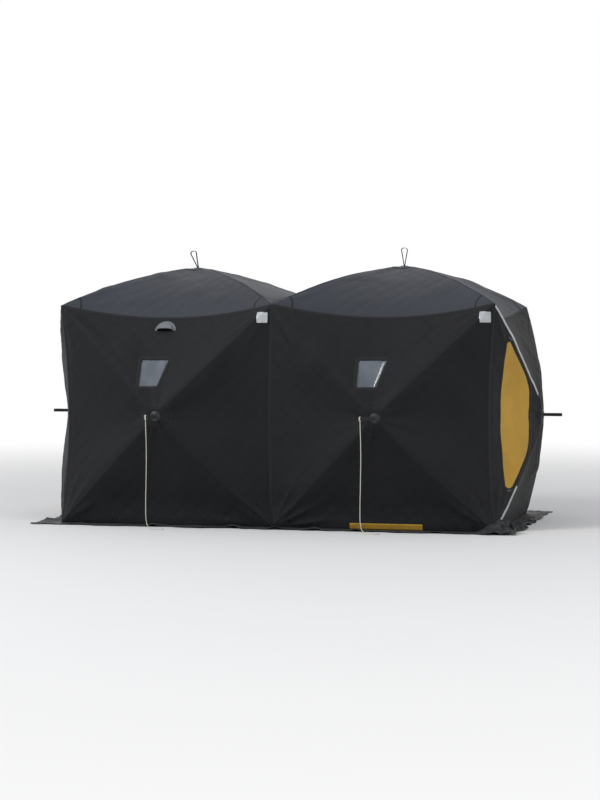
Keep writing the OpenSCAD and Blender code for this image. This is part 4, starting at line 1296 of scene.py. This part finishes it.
class SHELTER_OT_vents(Operator):
    """Sew on the vent hoods, with a stiff rim, a stitched flange and mesh in the slot behind them"""
    bl_idname = "shelter.vents"
    bl_label = "Sew on the vents"

    def execute(self, context):
        found, _, cloth, hardware = settings(context)
        fabric = woven("coated_polyester_vents", cloth.vent, 0.004)
        binding = tape_cloth("grosgrain_vent_rim", cloth.vent, 0.003)
        net = woven("polyester_insect_mesh", hardware.plastic, 0.003)
        foot, side, lip = VENT_FOOT, VENT_W / 2, VENT_W / 2 - VENT_TAPER
        w = np.linspace(0, math.pi, 49)
        t = np.linspace(0, 1, 25)[:, None]
        round_part = np.clip((t - 0.45) / 0.55, 0, 1) * math.pi / 2
        radius = np.where(t < 0.45, side + (lip - side) * t / 0.45, lip * np.cos(round_part))
        height = np.where(t < 0.45, (VENT_OUT - 0.010) * t / 0.45 - 0.003,
                          VENT_OUT - 0.013 + 0.013 * np.sin(round_part))
        bead = 0.0022 * np.exp(1j * np.linspace(0, math.tau, 10, endpoint=False))
        hoods, rims, meshes = [], [], []
        for name in VENT_BAYS:
            bay = found[name]
            base, high = (bay.base(*bay.uv_at(np.array(0.0), np.array(y)))[2] for y in (foot, foot + side))
            lean = math.atan((base - high) / side)

            def put(local, bay=bay, base=base, lean=lean):
                """From the hood's own frame, x across, y up the wall and z off it, into the shelter's."""
                x, y, z = np.moveaxis(local, -1, 0)
                return bay.world(np.stack([x, foot + y * math.cos(lean) + z * math.sin(lean),
                                           base - y * math.sin(lean) + z * math.cos(lean)], -1))

            crease = ripples(bay.seed + 9, 0.08 * np.cos(w), 0.08 * np.sin(w), 0.03, 0.07)
            out = radius + 0.0012 * crease * smooth(t, 0, 0.3)
            local = np.stack([out * np.cos(w), out * np.sin(w), height + 0 * w], -1)
            hoods.append((put(local).reshape(-1, 3), [quads(25, 49)], pairs(w * side, t * 0.1)))
            mouth = even(np.concatenate([local[:, 0], local[::-1, -1]]), 0.004)
            rims.append(moved(swept(mouth, np.column_stack([bead.real, bead.imag])), put))
            flange = side + 0.005
            arc = np.column_stack([flange * np.cos(w), foot + flange * np.sin(w) * math.cos(lean)])
            rims.append(tape(bay, arc, flat_section(0.016, 0.0018)))
            outline = rectangle(-0.062, foot + 0.004, 0.124, 0.040, 0.004, 0.004)
            meshes.append(stretch(bay, outline, 0.006, -0.0055))
        hood = piece("vent_hoods", hoods, [fabric], 0.002)
        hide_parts("vents")
        piece("vent_rims", rims, [binding])
        piece("vent_meshes", meshes, [net], 0.0006)
        return {"FINISHED"}


class SHELTER_OT_skirts(Operator):
    """Lay the snow skirts out on the ground, crumpled, and bunched up at the front right corner"""
    bl_idname = "shelter.skirts"
    bl_label = "Lay the snow skirts"

    def execute(self, context):
        _, trim, cloth, _ = settings(context)
        fabric = woven("creased_skirt_polyester", cloth.skirt, 0.004, frost=0.10, rough=0.5, shine=0.2)
        half_l, half_d = LENGTH / 2, DEPTH / 2
        rows = [
            ("front_skirt", (0, -half_d), (1, 0), (0, -1), half_l),
            ("back_skirt", (0, half_d), (-1, 0), (0, 1), half_l),
            ("left_skirt", (-half_l, 0), (0, -1), (-1, 0), half_d),
            ("right_skirt", (half_l, 0), (0, 1), (1, 0), half_d),
        ]
        for name, origin, along, out, half in rows:
            part = self.lie(np.array(origin), np.array(along), np.array(out), half, trim.skirt)
            obj = piece(name + "_cloth", [part], [fabric], 0.0016)
            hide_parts(name)
        return {"FINISHED"}

    @staticmethod
    def lie(origin, along, out, half, width):
        """Mitred flap on the ground.

        Its height is the sum of long folds that run outwards, a fine crumple made of sharp ridges, a rolled hem
        at its outer edge, and a heap at the front right corner. The folds and the crumple fade out at the
        mitres, where the flaps meet.
        """
        s = np.linspace(-1, 1, round(half * 2 / 0.010))
        t = np.linspace(0, 1, 24)[:, None]
        start = 0.0014
        reach = start + t * (width - start)
        x, y = s * (half + reach), reach + 0 * s
        free = smooth(half + reach - np.abs(x), 0.0, 0.10)
        edge = 0.012 * ripples(41, x, 0 * y, 0.12, 0.5) * t ** 2 * free
        folds = np.maximum(0, ripples(43, x, y * 0.3, 0.10, 0.34)) * 0.009 * smooth(t, 0.05, 0.8)
        crumple = np.maximum(0, 1 - 1.5 * np.abs(ripples(47, x, y, 0.10, 0.26))) ** 1.5
        crumple = crumple * 0.006 * smooth(t, 0.03, 0.3)
        plan = origin + x[..., None] * along + (y + edge)[..., None] * out
        heap = np.exp(-(np.linalg.norm(plan - [LENGTH / 2 + 0.06, -DEPTH / 2 - 0.07], axis=-1) / 0.12) ** 2)
        px, py = plan[..., 0], plan[..., 1]
        ridges = 1 - 1.2 * np.sqrt(ripples(53, px, py, 0.09, 0.18) ** 2 + 0.05)
        mound = np.maximum(0, heap * (0.075 + 0.05 * ridges) * smooth(t, 0.0, 0.12))
        z = 0.0022 + (folds + crumple) * free + 0.003 * smooth(t, 0.9, 0.96) + mound
        pull = heap * 0.025 * ripples(59, px, py, 0.06, 0.12) * smooth(t, 0.1, 0.5)
        points = np.concatenate([plan + pull[..., None] * [1, -1], z[..., None]], -1)
        # The grid's rows are turned round where its faces would look down
        turn = 1 if along[0] * out[1] > along[1] * out[0] else -1
        return points[:, ::turn].reshape(-1, 3), [quads(*x.shape)], pairs(x[:, ::turn], y[:, ::turn])


class SHELTER_OT_finish(Operator):
    """Give the frame's hubs, poles and sockets their finishes"""
    bl_idname = "shelter.finish"
    bl_label = "Finish hubs, poles and sockets"

    def execute(self, context):
        hardware = context.scene.shelter_hardware
        cast = bare_metal("die_cast_aluminium_hubs", hardware.hub, 0.42, 260.0)
        nylon = moulded_nylon("moulded_nylon_sockets", hardware.plastic, 0.5)
        for name in HUBS:
            low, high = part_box(name + "_hub")
            centre = (low + high) / 2
            dress(name + "_hub", cast)
            mesh = frame["nodes"][name + "_poles"].data
            points = np.empty(len(mesh.vertices) * 3, np.float32)
            mesh.vertices.foreach_get("co", points)
            reach = float(np.linalg.norm(points.reshape(-1, 3) - centre, axis=1).max())
            pole = jointed_pole(f"glass_fibre_{name}_poles", tuple(centre), reach, hardware.pole,
                                hardware.steel, hardware.plastic)
            dress(name + "_poles", pole)
        dress("corner_sockets", nylon)
        return {"FINISHED"}


def dress(node, material):
    """Give a node of the frame one material in all its slots."""
    obj = frame["nodes"][node]
    if not obj.material_slots:
        obj.data.materials.append(material)
    for slot in obj.material_slots:
        slot.material = material


def aimed(name, data, place, aim):
    """An object that looks from its place at a point."""
    obj = bpy.data.objects.new(name, data)
    obj.location = place
    obj.rotation_mode = "QUATERNION"
    obj.rotation_quaternion = (Vector(aim) - Vector(place)).to_track_quat("-Z", "Y")
    bpy.context.scene.collection.objects.link(obj)
    return obj


class SHELTER_OT_stage(Operator):
    """Set up the camera, the pale floor, the even world light and the soft lamps"""
    bl_idname = "shelter.stage"
    bl_label = "Set the stage"

    def execute(self, context):
        scene = context.scene
        stage = scene.shelter_stage
        scene.view_settings.view_transform = "Standard"
        lens = bpy.data.cameras.new("camera")
        lens.lens = stage.lens
        scene.camera = aimed("camera", lens, stage.eye, stage.aim)
        self.world(scene, stage.world)
        self.floor(scene.shelter_hardware.floor)
        self.lamp("key", (-9.0, -9.0, 9.5), 5.0, stage.key)
        self.lamp("fill", (11.0, -7.0, 6.5), 6.0, stage.fill)
        return {"FINISHED"}

    @staticmethod
    def world(scene, strength):
        """Even grey light on the object, and white where the camera or a reflection looks past it."""
        world = bpy.data.worlds.new("even_light")
        scene.world = world
        world.use_nodes = True
        world.node_tree.nodes.clear()
        node = partial(add, world.node_tree)
        even_light = node("Background", Color=(1, 1, 1, 1), Strength=strength)
        white = node("Background", Color=(1, 1, 1, 1), Strength=1.0)
        node("OutputWorld", node("MixShader", seen(node), even_light, white))

    @staticmethod
    def floor(colour):
        """Pale floor that fades into the white background far from the object."""
        w = np.linspace(0, math.tau, 96, endpoint=False)
        r = np.array([0.5, 4, 12, 60.0])[:, None]
        points = np.stack([r * np.cos(w), r * np.sin(w), 0 * r * w], -1).reshape(-1, 3)
        material, shader, node, place = begin("painted_studio_floor", Roughness=0.85)
        faces = [quads(4, 96, False, True), np.arange(96)[None]]
        mesh_object("floor", [(points, faces, points[:, :2])], [material])
        _, tone = clouded(node, place, colour, 3.0, 4.0, 0.97, 1.0)
        fill(shader, Base_Color=tone)
        far = node("VectorMath", place["Object"], operation="LENGTH")
        fade = node("MapRange", far, 3.0, 14.0, interpolation_type="SMOOTHSTEP")
        share = node("Math", fade, seen(node), operation="MULTIPLY")
        white = node("Emission", Color=(1, 1, 1, 1), Strength=1.0)
        mix = node("MixShader", share, shader.outputs[0], white)
        fill(material.node_tree.nodes["Material Output"], mix)

    @staticmethod
    def lamp(name, place, size, power):
        """Soft square lamp that faces the shelter."""
        data = bpy.data.lights.new(name, "AREA")
        data.shape = "SQUARE"
        data.size = size
        data.energy = power
        aimed(name, data, place, (0, 0, 1))


STEPS = (SHELTER_OT_stage, SHELTER_OT_ropes, SHELTER_OT_shell, SHELTER_OT_windows, SHELTER_OT_doors,
         SHELTER_OT_seams, SHELTER_OT_reflectors, SHELTER_OT_loops, SHELTER_OT_vents, SHELTER_OT_skirts,
         SHELTER_OT_finish)
GROUPS = {
    "shelter_shell": ShellSizes,
    "shelter_trim": TrimSizes,
    "shelter_cloth": ClothColours,
    "shelter_hardware": HardwareColours,
    "shelter_stage": StageSizes,
}


class SHELTER_PT_panel(Panel):
    """Sidebar panel that lists the sizes, the colours and the steps"""
    bl_idname = "SHELTER_PT_panel"
    bl_label = "Pop-up shelter"
    bl_space_type = "VIEW_3D"
    bl_region_type = "UI"
    bl_category = "Shelter"

    def draw(self, context):
        for name, group in GROUPS.items():
            box = self.layout.box()
            for key in group.__annotations__:
                box.prop(getattr(context.scene, name), key)
        for step in STEPS:
            self.layout.operator(step.bl_idname)


def register():
    for group in (*GROUPS.values(), *STEPS, SHELTER_PT_panel):
        bpy.utils.register_class(group)
    for name, group in GROUPS.items():
        setattr(bpy.types.Scene, name, PointerProperty(type=group))


def unregister():
    for name in GROUPS:
        delattr(bpy.types.Scene, name)
    for group in reversed((*GROUPS.values(), *STEPS, SHELTER_PT_panel)):
        bpy.utils.unregister_class(group)


def main():
    register()
    bpy.ops.shelter.stage()
    bpy.ops.shelter.ropes()
    bpy.ops.shelter.shell()
    bpy.ops.shelter.windows()
    bpy.ops.shelter.doors()
    bpy.ops.shelter.seams()
    bpy.ops.shelter.reflectors()
    bpy.ops.shelter.loops()
    bpy.ops.shelter.vents()
    bpy.ops.shelter.skirts()
    bpy.ops.shelter.finish()


if __name__ == "__main__":
    main()
